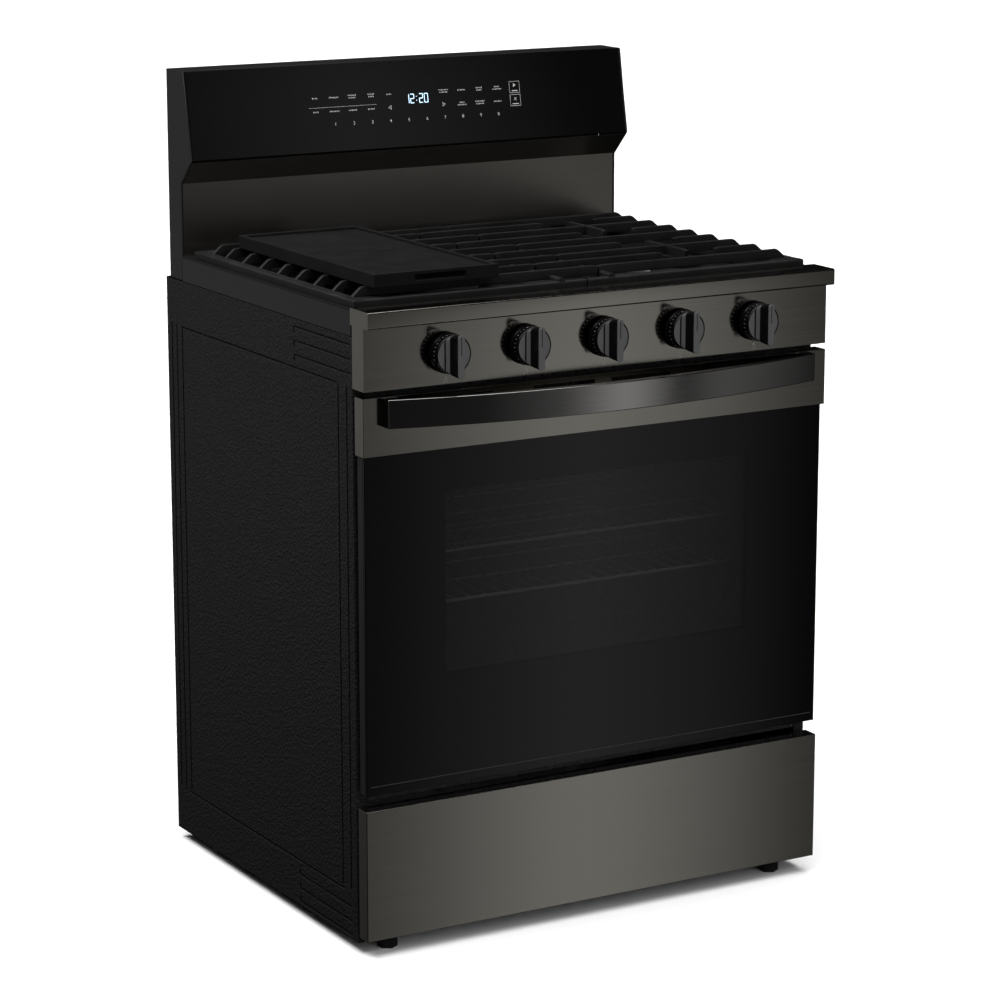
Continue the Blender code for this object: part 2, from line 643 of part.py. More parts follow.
def add_bar(bm, y, inner, outer, foot):
    """A bar along X from its inner end to its outer end, which may step down into the side rail."""
    outline = [(inner, BAR_BOTTOM_Z), (inner, BAR_TOP_Z), (outer, BAR_TOP_Z), (outer, BAR_BOTTOM_Z)]
    if foot:
        sign = math.copysign(1, outer)
        low, rail = COOKTOP_Z - GAP, COOKTOP_Z + RAIL_TOP - GAP
        slope = outer - sign * BAR_SLOPE
        outline[2:] = [(slope, BAR_TOP_Z), (outer, rail), (outer + sign * BAR_WIDTH, rail),
                       (outer + sign * BAR_WIDTH, low), (slope, low), (slope - sign * BAR_SLOPE, BAR_BOTTOM_Z)]
    mesh = extruded([outline], -y - BAR_WIDTH / 2, -y + BAR_WIDTH / 2, ALONG_Y)
    bm.from_mesh(mesh)
    bpy.data.meshes.remove(mesh)


def build_grate(side, sign):
    """One grate: rails on four sides and bars that alternate in length at the seam."""
    outer, inner = sign * GRATE_X, sign * (SEAM_STAGGER + SEAM_GAP / 2)
    rail_top = COOKTOP_Z + RAIL_TOP
    seam = sign * SEAM_GAP / 2
    end_rails = [(GRATE_FRONT_Y, GRATE_FRONT_Y + GRATE_END_RAIL),
                 (GRATE_REAR_Y - GRATE_END_RAIL, GRATE_REAR_Y)]
    bm = bmesh.new()
    for low_y, high_y in end_rails:
        add_box(bm, (min(seam, outer), low_y, GRATE_FLOOR_Z), (max(seam, outer), high_y, rail_top))
    edge = inner + sign * INNER_RAIL_WIDTH
    add_box(bm, (min(inner, edge), GRATE_FRONT_Y + GAP, GRATE_FLOOR_Z),
            (max(inner, edge), GRATE_REAR_Y - GAP, COOKTOP_Z + INNER_RAIL_TOP))
    rail_in = sign * (GRATE_X - GRATE_SIDE_RAIL)
    toe = rail_in - sign * 2 * GAP
    for number, y in enumerate(BARS_Y):
        crosses = (number % 2 == 0) == (side == "left")
        start = -sign * (SEAM_STAGGER - SEAM_GAP / 2) if crosses else inner + sign * GAP
        if number % 2:
            add_bar(bm, y, start, sign * (BURNER_X - BURNER_BREAK), False)
            add_bar(bm, y, sign * (BURNER_X + BURNER_BREAK), toe, True)
        else:
            add_bar(bm, y, start, toe, True)
    for y in BURNERS_Y.values():
        add_box(bm, (sign * BURNER_X - BAR_WIDTH / 2, y - CROSS_BAR_HALF, BAR_BOTTOM_Z + GAP),
                (sign * BURNER_X + BAR_WIDTH / 2, y + CROSS_BAR_HALF, BAR_TOP_Z - GAP))
    obj = part("grate_" + side, boxes(((min(outer, rail_in), GRATE_FRONT_Y + 2 * GAP, GRATE_FLOOR_Z),
                                       (max(outer, rail_in), GRATE_REAR_Y - 2 * GAP, rail_top))), "cast_iron")
    join(obj, mesh_from(bm))


def build_griddle():
    low = Vector((-GRATE_X + GRIDDLE_X_IN, GRATE_FRONT_Y + GRIDDLE_Y_IN, BAR_TOP_Z + GAP))
    high = low + Vector((GRIDDLE_WIDTH, GRIDDLE_DEPTH, GRIDDLE_HEIGHT))
    obj = part("griddle", boxes((low, high)), "cast_iron")
    wall = Vector((GRIDDLE_WALL, GRIDDLE_WALL, GRIDDLE_FLOOR))
    cut(obj, boxes((low + wall, high - Vector((GRIDDLE_WALL, GRIDDLE_WALL, -CUT_PAST)))))
    start, end = [low.x + share * GRIDDLE_WIDTH for share in GRIDDLE_SLOT_SHARE]
    slot_z = low.z + (GRIDDLE_HEIGHT - GRIDDLE_SLOT_HEIGHT) / 2
    slot_top = slot_z + GRIDDLE_SLOT_HEIGHT
    cut(obj, boxes(((start, low.y - CUT_PAST, slot_z), (end, low.y + GRIDDLE_SLOT_DEPTH, slot_top)),
                   ((start, high.y - GRIDDLE_SLOT_DEPTH, slot_z), (end, high.y + CUT_PAST, slot_top))))


# ---------------------------------------------------------------- backguard
def build_backguard():
    bottom = SEAM_Z + GAP
    outline = [(BACKGUARD_REAR_Y, bottom), (BACKGUARD_REAR_Y, BACKGUARD_TOP_Z), (TOP_FRONT_Y, BACKGUARD_TOP_Z),
               (LIP_Y, LIP_Z), (STRIP_Y, STRIP_TOP_Z), (STRIP_Y, bottom)]
    for side, sign in SIDES.items():
        start, end = sorted((sign * (BACKGUARD_X - END_CAP), sign * BACKGUARD_X))
        part("backguard_end_" + side, extruded([outline], start, end, ALONG_X), "gloss_black")
    half = BACKGUARD_X - END_CAP - GAP
    face = Vector((LIP_Y - TOP_FRONT_Y, LIP_Z - BACKGUARD_TOP_Z))
    inward = Vector((-face.y, face.x)).normalized() * CONSOLE_GLASS
    top, lip = Vector((TOP_FRONT_Y, BACKGUARD_TOP_Z)), Vector((LIP_Y, LIP_Z))
    glass = [top, lip, lip + inward, top + inward]
    part("console_glass", extruded([glass], -half, half, ALONG_X), "black_glass")
    front = glass[3].x + GAP + SHEET
    shell = [(front, BACKGUARD_TOP_Z), (BACKGUARD_REAR_Y, BACKGUARD_TOP_Z), (BACKGUARD_REAR_Y, bottom),
             (BACKGUARD_REAR_Y - SHEET, bottom), (BACKGUARD_REAR_Y - SHEET, BACKGUARD_TOP_Z - SHEET),
             (front, BACKGUARD_TOP_Z - SHEET)]
    part("backguard_shell", extruded([shell], -half, half, ALONG_X), "gloss_black")
    slope = Vector((STRIP_Y - LIP_Y, STRIP_TOP_Z - LIP_Z)).normalized()
    back = Vector((-slope.y, slope.x)) * SHEET
    start = Vector((LIP_Y, LIP_Z)) + slope * (CONSOLE_GLASS + STRIP_TO_GLASS)
    strip = [start, (STRIP_Y, STRIP_TOP_Z), (STRIP_Y, bottom), (STRIP_Y + SHEET, bottom),
             (STRIP_Y + SHEET, STRIP_TOP_Z + STRIP_CORNER), start + back]
    part("backguard_strip", extruded([strip], -half, half, ALONG_X), "black_steel")


# ---------------------------------------------------------------- oven
def build_oven():
    liner = tray("oven_liner", (-OVEN_X, OVEN_FRONT_Y, OVEN_FLOOR_Z - SHEET),
                 (OVEN_X, OVEN_BACK_Y, OVEN_ROOF_Z + SHEET), (0, -1, 0), "enamel")
    wall = OVEN_X - SHEET / 2
    ledges = []
    for level in range(LEDGE_COUNT):
        top = ledge_top(level)
        for sign in SIDES.values():
            start, end = sorted((sign * wall, sign * (OVEN_X - SHEET - LEDGE_WIDTH)))
            ledges.append(((start, OVEN_FRONT_Y + LEDGE_WIDTH, top - LEDGE_HEIGHT),
                           (end, OVEN_BACK_Y - LEDGE_WIDTH, top)))
    join(liner, boxes(*ledges))
    mouth_x = OVEN_X - SHEET
    mouth = rectangle((-mouth_x, OVEN_FLOOR_Z), (mouth_x, OVEN_ROOF_Z))
    plate = rectangle((-INNER_X, FRAME_BOTTOM_Z), (INNER_X, CONSOLE_BOTTOM_Z - FRAME_UNDER_CONSOLE))
    part("oven_front_frame", extruded([plate, mouth], -FRAME_BACK_Y, -FRAME_FRONT_Y, ALONG_Y), "enamel")
    ring = [rounded_rectangle((-mouth_x - grow, OVEN_FLOOR_Z - grow), (mouth_x + grow, OVEN_ROOF_Z + grow),
                              GASKET_CORNER + grow) for grow in (GASKET_OFFSET + GASKET_WIDTH, GASKET_OFFSET)]
    part("oven_gasket", extruded(ring, -FRAME_FRONT_Y + GAP, -LINER_BACK_Y - GAP, ALONG_Y), "fibre")


def ledge_top(level):
    return OVEN_FLOOR_Z + (LEDGE_FIRST_SHARE + level * LEDGE_PITCH_SHARE) * OVEN_HEIGHT


def build_racks():
    half = OVEN_X - SHEET - RACK_SIDE_CLEAR
    front = FRONT_Y + RACK_FRONT_BACK
    rear = OVEN_BACK_Y - RACK_REAR_CLEAR
    count = int((2 * half - 2 * RACK_BORDER) / RACK_PITCH)
    pitch = (2 * half - 2 * RACK_BORDER + RACK_WIRE) / count
    slots = []
    for number in range(count):
        start = -half + RACK_BORDER + number * pitch
        for low_y, high_y in ((front + RACK_BORDER, (front + rear - RACK_WIRE) / 2),
                              ((front + rear + RACK_WIRE) / 2, rear - RACK_BORDER)):
            slots.append(rectangle((start, low_y), (start + pitch - RACK_WIRE, high_y)))
    for name, level in RACK_LEVELS.items():
        low = ledge_top(level) + GAP
        outlines = [rectangle((-half, front), (half, rear))] + slots
        part(name, extruded(outlines, low, low + RACK_THICK), "bright_steel")


def bend(centre, radius, start, end, place):
    """Points of a quarter bend, with a function that places each flat point in space."""
    return [place(u, v) for u, v in arc(centre, radius, start, end, 5)]


def build_oven_burners():
    z = OVEN_ROOF_Z - BROIL_DROP
    front = OVEN_FRONT_Y + BROIL_FRONT_IN
    rear = OVEN_BACK_Y - SHEET - GAP
    half, turn = BROIL_HALF_WIDTH, PIPE_BEND
    points = [(-half, rear, z)]
    points += bend((-half + turn, front + turn), turn, 180, 270, lambda u, v: (u, v, z))
    points += bend((half - turn, front + turn), turn, 270, 360, lambda u, v: (u, v, z))
    points.append((half, rear, z))
    part("broil_burner", tube(points, OVEN_TUBE_RADIUS), "bright_steel")
    z = OVEN_FLOOR_Z - BAKE_DROP
    rear = OVEN_BACK_Y - BROIL_FRONT_IN / 2
    front = OVEN_FRONT_Y + BAKE_FRONT_IN
    part("bake_burner", tube([(0, front, z), (0, rear, z)], BAKE_TUBE_RADIUS), "bright_steel")
    profile = [(share * LAMP_RADIUS, height * LAMP_DEPTH) for share, height in LAMP_PROFILE]
    place = (LAMP_X, OVEN_BACK_Y - SHEET - GAP, OVEN_ROOF_Z - LAMP_DROP)
    turned("oven_lamp", profile, "lamp_glass", place, (0, -1, 0), 24)


# ---------------------------------------------------------------- gas supply, valve stems and knobs
def build_gas_supply():
    low_y = FRONT_Y + MANIFOLD_Y_IN - MANIFOLD_SIZE / 2
    half = SIDE_X - MANIFOLD_X_IN
    bar = boxes(((-half, low_y, KNOB_Z - MANIFOLD_SIZE / 2),
                 (half, low_y + MANIFOLD_SIZE, KNOB_Z + MANIFOLD_SIZE / 2)))
    obj = part("gas_manifold", bar, "brass")
    front = FRONT_Y + VALVE_Y_IN
    rear = low_y + MANIFOLD_SIZE / 2
    join(obj, boxes(*[((x - VALVE_WIDTH / 2, front, KNOB_Z - VALVE_HEIGHT / 2),
                       (x + VALVE_WIDTH / 2, rear, KNOB_Z + VALVE_HEIGHT / 2)) for x in KNOBS_X]))
    depth = 2 * (STEM_REAR_IN + STEM_PUSH + STEM_END_ROOM - VALVE_Y_IN)
    cut(obj, cylinders([(x, front, KNOB_Z) for x in KNOBS_X], STEM_RADIUS + STEM_CLEARANCE, depth, (0, 1, 0)))
    y = REAR_Y - PIPE_REAR_IN
    end = low_y + MANIFOLD_SIZE + GAP
    turn = PIPE_BEND
    points = [(PIPE_X, y, REGULATOR_Z)]
    points += bend((y - turn, KNOB_Z - turn), turn, 0, 90, lambda u, v: (PIPE_X, u, v))
    points.append((PIPE_X, end, KNOB_Z))
    pipe = part("gas_pipe", tube(points, PIPE_RADIUS), "galvanised")
    body = y - REGULATOR_LENGTH / 2 + REGULATOR_REACH
    centre = (PIPE_X, body, REGULATOR_Z)
    join(pipe, cylinders([centre], REGULATOR_RADIUS, REGULATOR_LENGTH, (0, 1, 0)))
    reach = REAR_Y - GAP - body
    join(pipe, cylinders([(PIPE_X, body + reach / 2, REGULATOR_Z)], INLET_RADIUS, reach, (0, 1, 0)))


def grip_block(x, width, length, front):
    return boxes(((x - width / 2, KNOB_BACK_Y - front, KNOB_Z - length / 2),
                  (x + width / 2, KNOB_BACK_Y - GRIP_BACK, KNOB_Z + length / 2)))


def build_knobs():
    stem_rear = FRONT_Y + STEM_REAR_IN
    stem_front = KNOB_BACK_Y - STEM_BORE_DEPTH + GAP
    for number, x in enumerate(KNOBS_X, 1):
        empty = joint_empty("knob_axis_%d" % number, (x, KNOB_BACK_Y, KNOB_Z))
        centre = (x, (stem_rear + stem_front) / 2, KNOB_Z)
        rod = cylinders([centre], STEM_RADIUS, stem_rear - stem_front, (0, 1, 0), 16)
        stem = part("valve_stem_%d" % number, rod, "bright_steel", (x, KNOB_BACK_Y, KNOB_Z))
        profile = [(0, KNOB_DEPTH), (KNOB_RADIUS - KNOB_CHAMFER, KNOB_DEPTH),
                   (KNOB_RADIUS, KNOB_DEPTH - KNOB_CHAMFER),
                   (KNOB_RADIUS, KNOB_SKIRT_THICK + KNOB_CHAMFER), (KNOB_SKIRT_RADIUS, KNOB_SKIRT_THICK),
                   (KNOB_SKIRT_RADIUS, 0), (0, 0)]
        knob = turned("knob_%d" % number, profile, "knob_black", (x, KNOB_BACK_Y, KNOB_Z), (0, -1, 0), 32)
        join(knob, grip_block(x, GRIP_WIDTH, GRIP_LENGTH, GRIP_FRONT))
        join(knob, grip_block(x, GRIP_FOOT_WIDTH, GRIP_FOOT_LENGTH, GRIP_FOOT_FRONT))
        bore = STEM_BORE_DEPTH * 2
        cut(knob, cylinders([(x, KNOB_BACK_Y, KNOB_Z)], STEM_RADIUS + STEM_CLEARANCE, bore, (0, 1, 0), 16))
        parent_to(empty, stem, knob)


# ---------------------------------------------------------------- door
def hinge_places():
    return {side: sign * (SIDE_X - HINGE_X_IN) for side, sign in SIDES.items()}


def hinge_notches():
    """Room in the door for the hinge brackets through the whole swing."""
    reach = HINGE_RADIUS + HINGE_CLEARANCE
    half = HINGE_THICK / 2 + HINGE_CLEARANCE
    return boxes(*[((x - half, PIVOT.y - reach, 0), (x + half, FRONT_Y, PIVOT.z + reach))
                   for x in hinge_places().values()])


def build_door():
    empty = joint_empty("door_hinge_axis", PIVOT)
    band_x = SIDE_X + BAND_OVERHANG
    band = tray("door_band", (-band_x, BAND_FRONT_Y, BAND_BOTTOM_Z), (band_x, DOOR_BACK_Y, DOOR_TOP_Z),
                (0, 1, 0), "black_steel", SHEET, PIVOT)
    vent_top = DOOR_TOP_Z - VENT_DROP
    cut(band, boxes(*[((start, BAND_FRONT_Y - CUT_PAST, vent_top - VENT_HEIGHT),
                       (end, BAND_FRONT_Y + CUT_PAST, vent_top)) for start, end in vent_slots()]))
    glass_x = SIDE_X - GLASS_INSET
    sheet = boxes(((-glass_x, GLASS_FRONT_Y, DOOR_BOTTOM_Z), (glass_x, GLASS_BACK_Y, BAND_BOTTOM_Z - GAP)))
    glass = part("door_glass", sheet, "black_glass", PIVOT)
    top, bottom = window_heights()
    body = tray("door_body", (-glass_x, GLASS_BACK_Y + GAP, DOOR_BOTTOM_Z),
                (glass_x, DOOR_BACK_Y, BAND_BOTTOM_Z - GAP), (0, -1, 0), "gloss_black", SHEET, PIVOT)
    cut(body, boxes(((-WINDOW_WIDTH / 2, GLASS_FRONT_Y, bottom), (WINDOW_WIDTH / 2, FRONT_Y, top))))
    cut(body, hinge_notches())
    liner_x = SIDE_X - DOOR_LINER_INSET
    ring = [rectangle((-liner_x, DOOR_BOTTOM_Z + LINER_UP), (liner_x, DOOR_TOP_Z - LINER_DOWN)),
            rectangle((-WINDOW_WIDTH / 2, bottom), (WINDOW_WIDTH / 2, top))]
    liner = part("door_liner", extruded(ring, -LINER_BACK_Y, -DOOR_BACK_Y - GAP, ALONG_Y), "enamel", PIVOT)
    cut(liner, hinge_notches())
    pane = ((-WINDOW_WIDTH / 2 + GAP, LINER_BACK_Y - WINDOW_BACK - WINDOW_THICK, bottom + GAP),
            (WINDOW_WIDTH / 2 - GAP, LINER_BACK_Y - WINDOW_BACK, top - GAP))
    window = part("door_window", boxes(pane), "black_glass", PIVOT)
    handle_top = DOOR_TOP_Z - HANDLE_TOP_DROP
    bar = extruded([handle_outline()], handle_top - HANDLE_HEIGHT, handle_top)
    handle = part("door_handle", bar, "black_steel", PIVOT)
    parent_to(empty, band, glass, body, liner, window, handle)


def window_heights():
    top = BAND_BOTTOM_Z - WINDOW_DROP
    return top, top - WINDOW_SHARE * (BAND_BOTTOM_Z - DOOR_BOTTOM_Z)


def vent_slots():
    """Starts and ends along X of the slots in the band: two long ones and two short ones."""
    slots = []
    for start, end in VENTS:
        slots += [(start, end), (-end, -start)]
    return slots


def handle_outline():
    """Seen from above: a bowed bar of even thickness whose ends turn back to the door."""
    half = SIDE_X - HANDLE_INSET
    bow = HANDLE_REACH - HANDLE_END_REACH
    radius = (half * half + bow * bow) / (2 * bow)
    centre = BAND_FRONT_Y - HANDLE_REACH + radius
    sweep = math.degrees(math.asin(half / radius))
    front = arc((0, centre), radius, -90 - sweep, -90 + sweep, 24)
    inner = radius - HANDLE_THICK
    inner_sweep = math.degrees(math.asin((half - HANDLE_FOOT) / inner))
    back = arc((0, centre), inner, -90 + inner_sweep, -90 - inner_sweep, 20)
    foot = BAND_FRONT_Y - GAP
    right_foot = [(half, foot), (half - HANDLE_FOOT, foot)]
    left_foot = [(-half + HANDLE_FOOT, foot), (-half, foot)]
    return front + right_foot + back + left_foot


def build_hinges():
    for side, x in hinge_places().items():
        root = FRAME_FRONT_Y - GAP
        outline = [(root, PIVOT.z + HINGE_RADIUS)] + arc((PIVOT.y, PIVOT.z), HINGE_RADIUS, 90, 270, 10)
        outline.append((root, PIVOT.z - HINGE_RADIUS))
        bracket = extruded([outline], x - HINGE_THICK / 2, x + HINGE_THICK / 2, ALONG_X)
        part("door_hinge_" + side, bracket, "bright_steel")


# ---------------------------------------------------------------- drawer
def build_drawer():
    half = SIDE_X + CONSOLE_OVERHANG
    front = FRONT_Y - DRAWER_REACH
    back = front + DRAWER_FRONT_DEPTH
    origin = (0, front, DRAWER_BOTTOM_Z)
    face = tray("drawer_front", (-half, front, DRAWER_BOTTOM_Z), (half, back, DRAWER_TOP_Z),
                (0, 1, 0), "black_steel", SHEET, origin)
    box_x = SIDE_X - DRAWER_BOX_INSET
    low = DRAWER_BOTTOM_Z + DRAWER_BOX_LIFT
    bin_box = tray("drawer_box", (-box_x, back + GAP, low),
                   (box_x, REAR_Y - DRAWER_REAR_CLEAR, low + DRAWER_BOX_HEIGHT), (0, 0, 1),
                   "galvanised", SHEET, origin)
    parent_to(joint_empty("drawer_slide_axis", origin), face, bin_box)


clear_scene()
PARTS = make_collection("gas_range")
CUTTERS = make_collection("cutters")
build_side_panels()
build_rear_panel()
build_base_frame()
build_feet()
build_front_trim()
build_control_panel()
build_cooktop()
build_burners()
for grate_side, grate_sign in SIDES.items():
    build_grate(grate_side, grate_sign)
build_griddle()
build_backguard()
build_oven()
build_racks()
build_oven_burners()
build_gas_supply()
build_knobs()
build_door()
build_hinges()
build_drawer()
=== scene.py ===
import json
from math import cos, hypot, pi, radians, sin, sqrt, tau
import bmesh
import bpy
from mathutils import Matrix, Vector


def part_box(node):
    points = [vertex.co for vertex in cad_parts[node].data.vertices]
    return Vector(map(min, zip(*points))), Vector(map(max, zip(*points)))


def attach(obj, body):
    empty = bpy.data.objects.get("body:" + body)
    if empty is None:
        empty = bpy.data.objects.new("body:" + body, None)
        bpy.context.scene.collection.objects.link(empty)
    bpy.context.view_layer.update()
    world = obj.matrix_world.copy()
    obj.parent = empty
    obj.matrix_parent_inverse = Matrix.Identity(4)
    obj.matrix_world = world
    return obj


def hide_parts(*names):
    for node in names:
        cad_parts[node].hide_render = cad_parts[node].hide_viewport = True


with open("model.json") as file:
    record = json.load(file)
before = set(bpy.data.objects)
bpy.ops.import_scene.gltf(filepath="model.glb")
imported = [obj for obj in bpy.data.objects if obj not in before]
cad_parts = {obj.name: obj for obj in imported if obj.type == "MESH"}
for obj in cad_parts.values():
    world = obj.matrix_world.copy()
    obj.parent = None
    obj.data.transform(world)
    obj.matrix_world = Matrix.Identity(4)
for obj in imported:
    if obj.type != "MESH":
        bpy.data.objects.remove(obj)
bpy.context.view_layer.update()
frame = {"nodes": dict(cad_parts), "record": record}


def new_object(name, data):
    obj = bpy.data.objects.new(name, data)
    bpy.context.scene.collection.objects.link(obj)
    return obj


def new_mesh(name, points, edges, faces):
    mesh = bpy.data.meshes.new(name)
    mesh.from_pydata(points, edges, faces)
    return mesh


def made_mesh(carrier):
    """What an object's modifiers make of it, as a plain mesh; the object goes."""
    depsgraph = bpy.context.evaluated_depsgraph_get()
    depsgraph.update()
    mesh = bpy.data.meshes.new_from_object(carrier.evaluated_get(depsgraph))
    bpy.data.objects.remove(carrier)
    return mesh


def set_inputs(node, **values):
    """Sets a node's inputs by name, with _ where the name has a space."""
    for name, value in values.items():
        node.inputs[name.replace("_", " ")].default_value = value


def join_all(tree, *joins):
    """Each join is (node, its output, node, its input)."""
    for start, output, end, into in joins:
        tree.links.new(start.outputs[output], end.inputs[into])


# Materials
def shader_of(material):
    return material.node_tree.nodes["Principled BSDF"]


def new_material(name, colour, roughness, metallic=0.0, specular=0.5):
    material = bpy.data.materials.new(name)
    material.use_nodes = True
    set_inputs(shader_of(material), Base_Color=(*colour, 1), Roughness=roughness, Metallic=metallic,
        Specular_IOR_Level=specular)
    return material


def add_node(material, kind, **inputs):
    node = material.node_tree.nodes.new(kind)
    set_inputs(node, **inputs)
    return node


def join_sockets(material, start, end):
    material.node_tree.links.new(start, end)


def object_noise(material, stretch, detail=3.0):
    """Noise in the object's own metres, finer along the axes with the larger stretch."""
    place = add_node(material, "ShaderNodeTexCoord")
    scale = add_node(material, "ShaderNodeMapping", Scale=stretch)
    noise = add_node(material, "ShaderNodeTexNoise", Scale=1.0, Detail=detail, Roughness=0.6)
    join_all(material.node_tree, (place, "Object", scale, "Vector"), (scale, "Vector", noise, "Vector"))
    return noise.outputs["Fac"]


def ramp_colour(material, value, *stops):
    """Takes the base colour from a value, through (place, colour) stops."""
    ramp = add_node(material, "ShaderNodeValToRGB")
    for element, (place, colour) in zip(ramp.color_ramp.elements, stops):
        element.position = place
        element.color = (*colour, 1)
    join_sockets(material, value, ramp.inputs["Fac"])
    join_sockets(material, ramp.outputs["Color"], shader_of(material).inputs["Base Color"])


def vary_colour(material, value, colour, darker, lighter):
    ramp_colour(material, value, (0.3, [c * darker for c in colour]), (0.7, [c * lighter for c in colour]))


def vary_roughness(material, value, low, high):
    """Maps 0.3..0.7 of a noise to low..high."""
    mapped = add_node(material, "ShaderNodeMapRange", From_Min=0.3, From_Max=0.7, To_Min=low, To_Max=high)
    join_sockets(material, value, mapped.inputs["Value"])
    join_sockets(material, mapped.outputs["Result"], shader_of(material).inputs["Roughness"])


def add_bump(material, value, strength, height):
    bump = add_node(material, "ShaderNodeBump", Strength=strength, Distance=height)
    join_sockets(material, value, bump.inputs["Height"])
    join_sockets(material, bump.outputs["Normal"], shader_of(material).inputs["Normal"])


def brushed(name, colour, roughness):
    """Sheet steel with its grain along X."""
    material = new_material(name, colour, roughness, metallic=1.0)
    grain = object_noise(material, (4, 500, 900), detail=4.0)
    vary_colour(material, grain, colour, 0.93, 1.06)
    vary_roughness(material, grain, roughness - 0.02, roughness + 0.02)
    return material


def leather(name, colour, roughness):
    """Black enamel with a pebbled leather grain."""
    material = new_material(name, colour, roughness)
    place = add_node(material, "ShaderNodeTexCoord")
    cells = add_node(material, "ShaderNodeTexVoronoi")
    cells.feature = "SMOOTH_F1"
    set_inputs(cells, Scale=260.0, Smoothness=0.6, Randomness=1.0)
    join_sockets(material, place.outputs["Object"], cells.inputs["Vector"])
    add_bump(material, cells.outputs["Distance"], 1.0, 0.001)
    vary_roughness(material, object_noise(material, (30, 30, 30)), roughness - 0.05, roughness + 0.07)
    return material


def enamel(name, colour, roughness, waves=0.02, specular=0.5):
    """Smooth enamel or moulded plastic with a faint orange peel."""
    material = new_material(name, colour, roughness, specular=specular)
    peel = object_noise(material, (120, 120, 120), detail=2.0)
    vary_roughness(material, peel, max(roughness - 0.02, 0.02), roughness + 0.03)
    add_bump(material, peel, waves, 0.0006)
    return material


def cast(name, colour, roughness, specular=0.5):
    """Cast iron under matt enamel: a fine sandy surface."""
    material = new_material(name, colour, roughness, specular=specular)
    add_bump(material, object_noise(material, (900, 900, 900), detail=4.0), 0.35, 0.0006)
    cloud = object_noise(material, (25, 25, 25))
    vary_colour(material, cloud, colour, 0.8, 1.25)
    vary_roughness(material, cloud, roughness - 0.06, roughness + 0.06)
    return material


def speckled(name, colour, fleck, roughness):
    """Oven enamel with pale flecks."""
    material = new_material(name, colour, roughness)
    place = add_node(material, "ShaderNodeTexCoord")
    cells = add_node(material, "ShaderNodeTexVoronoi", Scale=420.0)
    join_sockets(material, place.outputs["Object"], cells.inputs["Vector"])
    ramp_colour(material, cells.outputs["Distance"], (0.1, fleck), (0.2, colour))
    vary_roughness(material, object_noise(material, (60, 60, 60)), roughness - 0.04, roughness + 0.06)
    return material


STEEL = brushed("black_stainless", (0.415, 0.397, 0.355), 0.135)
# The backguard strip is the trim's black stainless, made rougher and, as painted light, lighter in colour for
# the brightness it shows.
STRIP_STEEL_PAINTED_LIGHT = brushed("backguard_steel_painted_light", (0.46, 0.44, 0.4), 0.31)
HANDLE_STEEL = brushed("handle_steel", (0.5, 0.492, 0.48), 0.14)
# Ground steel for the handle's end corners and the backguard beads, lighter than the handle as painted
# highlight.
GROUND_EDGE_HIGHLIGHT = brushed("ground_edge_highlight", (0.55, 0.55, 0.54), 0.38)
LEATHER = leather("leather_black", (0.011, 0.011, 0.011), 0.4)
GROOVE = enamel("groove_shadow", (0.0012, 0.0012, 0.0012), 0.8, waves=0.0, specular=0.05)
SMOOTH_BLACK = enamel("smooth_black_enamel", (0.012, 0.012, 0.012), 0.3)
COOKTOP = enamel("cooktop_enamel", (0.008, 0.008, 0.008), 0.16)
CONSOLE = enamel("console_black_glass", (0.0015, 0.0015, 0.0015), 0.07, waves=0.0)
DOOR_GLASS = enamel("door_black_glass", (0.0005, 0.0005, 0.0005), 0.05, waves=0.0)
IRON = cast("cast_iron_enamel", (0.0055, 0.0055, 0.0055), 0.48, 0.5)
GRIDDLE_IRON = cast("griddle_iron", (0.0035, 0.0035, 0.0035), 0.62, 0.22)
BURNER = brushed("burner_aluminium", (0.32, 0.31, 0.3), 0.42)
OVEN = speckled("oven_enamel", (0.018, 0.019, 0.022), (0.22, 0.23, 0.25), 0.28)
GALVANISED = cast("galvanised_steel", (0.3, 0.31, 0.32), 0.42)
BRIGHT = brushed("bright_wire", (0.6, 0.6, 0.58), 0.22)
BRASS = brushed("brass_fitting", (0.62, 0.44, 0.16), 0.28)
GASKET = cast("gasket_braid", (0.1, 0.1, 0.1), 0.9)
LAMP = enamel("lamp_lens", (0.7, 0.68, 0.6), 0.12, waves=0.05)
KNOB = enamel("knob_black", (0.0035, 0.0035, 0.0035), 0.22, waves=0.01)
RUBBER = cast("foot_plastic", (0.012, 0.012, 0.012), 0.55)
# Painted shade for the burner ports, screw recesses and vent-slot mouths.
HOLE_SHADE = enamel("painted_hole_shade", (0.015, 0.015, 0.015), 0.45)
# Lighter satin grey for the knob's face disc; on the grip's flank and top runs it is painted highlight.
KNOB_FACE_AND_HIGHLIGHT = enamel("knob_face_satin", (0.085, 0.085, 0.088), 0.36, waves=0.01)
PALE_PRINT = enamel("pale_print", (0.5, 0.5, 0.49), 0.5)
WHITE_PRINT = enamel("white_print", (0.85, 0.85, 0.84), 0.5)
WINDOW_INNER = enamel("inner_window_glass", (0.01, 0.01, 0.01), 0.08, waves=0.0)
WINDOW_TINT = enamel("tinted_window_glass", (0.001, 0.001, 0.001), 0.05, waves=0.0, specular=1.0)
RACK = enamel("rack_grey_enamel", (0.36, 0.36, 0.37), 0.32)
set_inputs(shader_of(WINDOW_INNER), Alpha=0.12)
set_inputs(shader_of(WINDOW_TINT), Alpha=0.45)
GLASS_LINE = enamel("glass_edge_line", (0.03, 0.03, 0.03), 0.4)
CLOCK_LIGHT = new_material("clock_light", (0.55, 0.75, 0.95), 0.5)
set_inputs(shader_of(CLOCK_LIGHT), Emission_Color=(0.55, 0.8, 1.0, 1), Emission_Strength=0.9)


# Pieces
def body_holding(node):
    for body, held in frame["record"]["behaviour"]["bodies"].items():
        if node in held:
            return body
    return "range"


def smooth_by_angle(mesh, degrees=32):
    mesh.shade_smooth()
    mesh.set_sharp_from_angle(angle=radians(degrees))


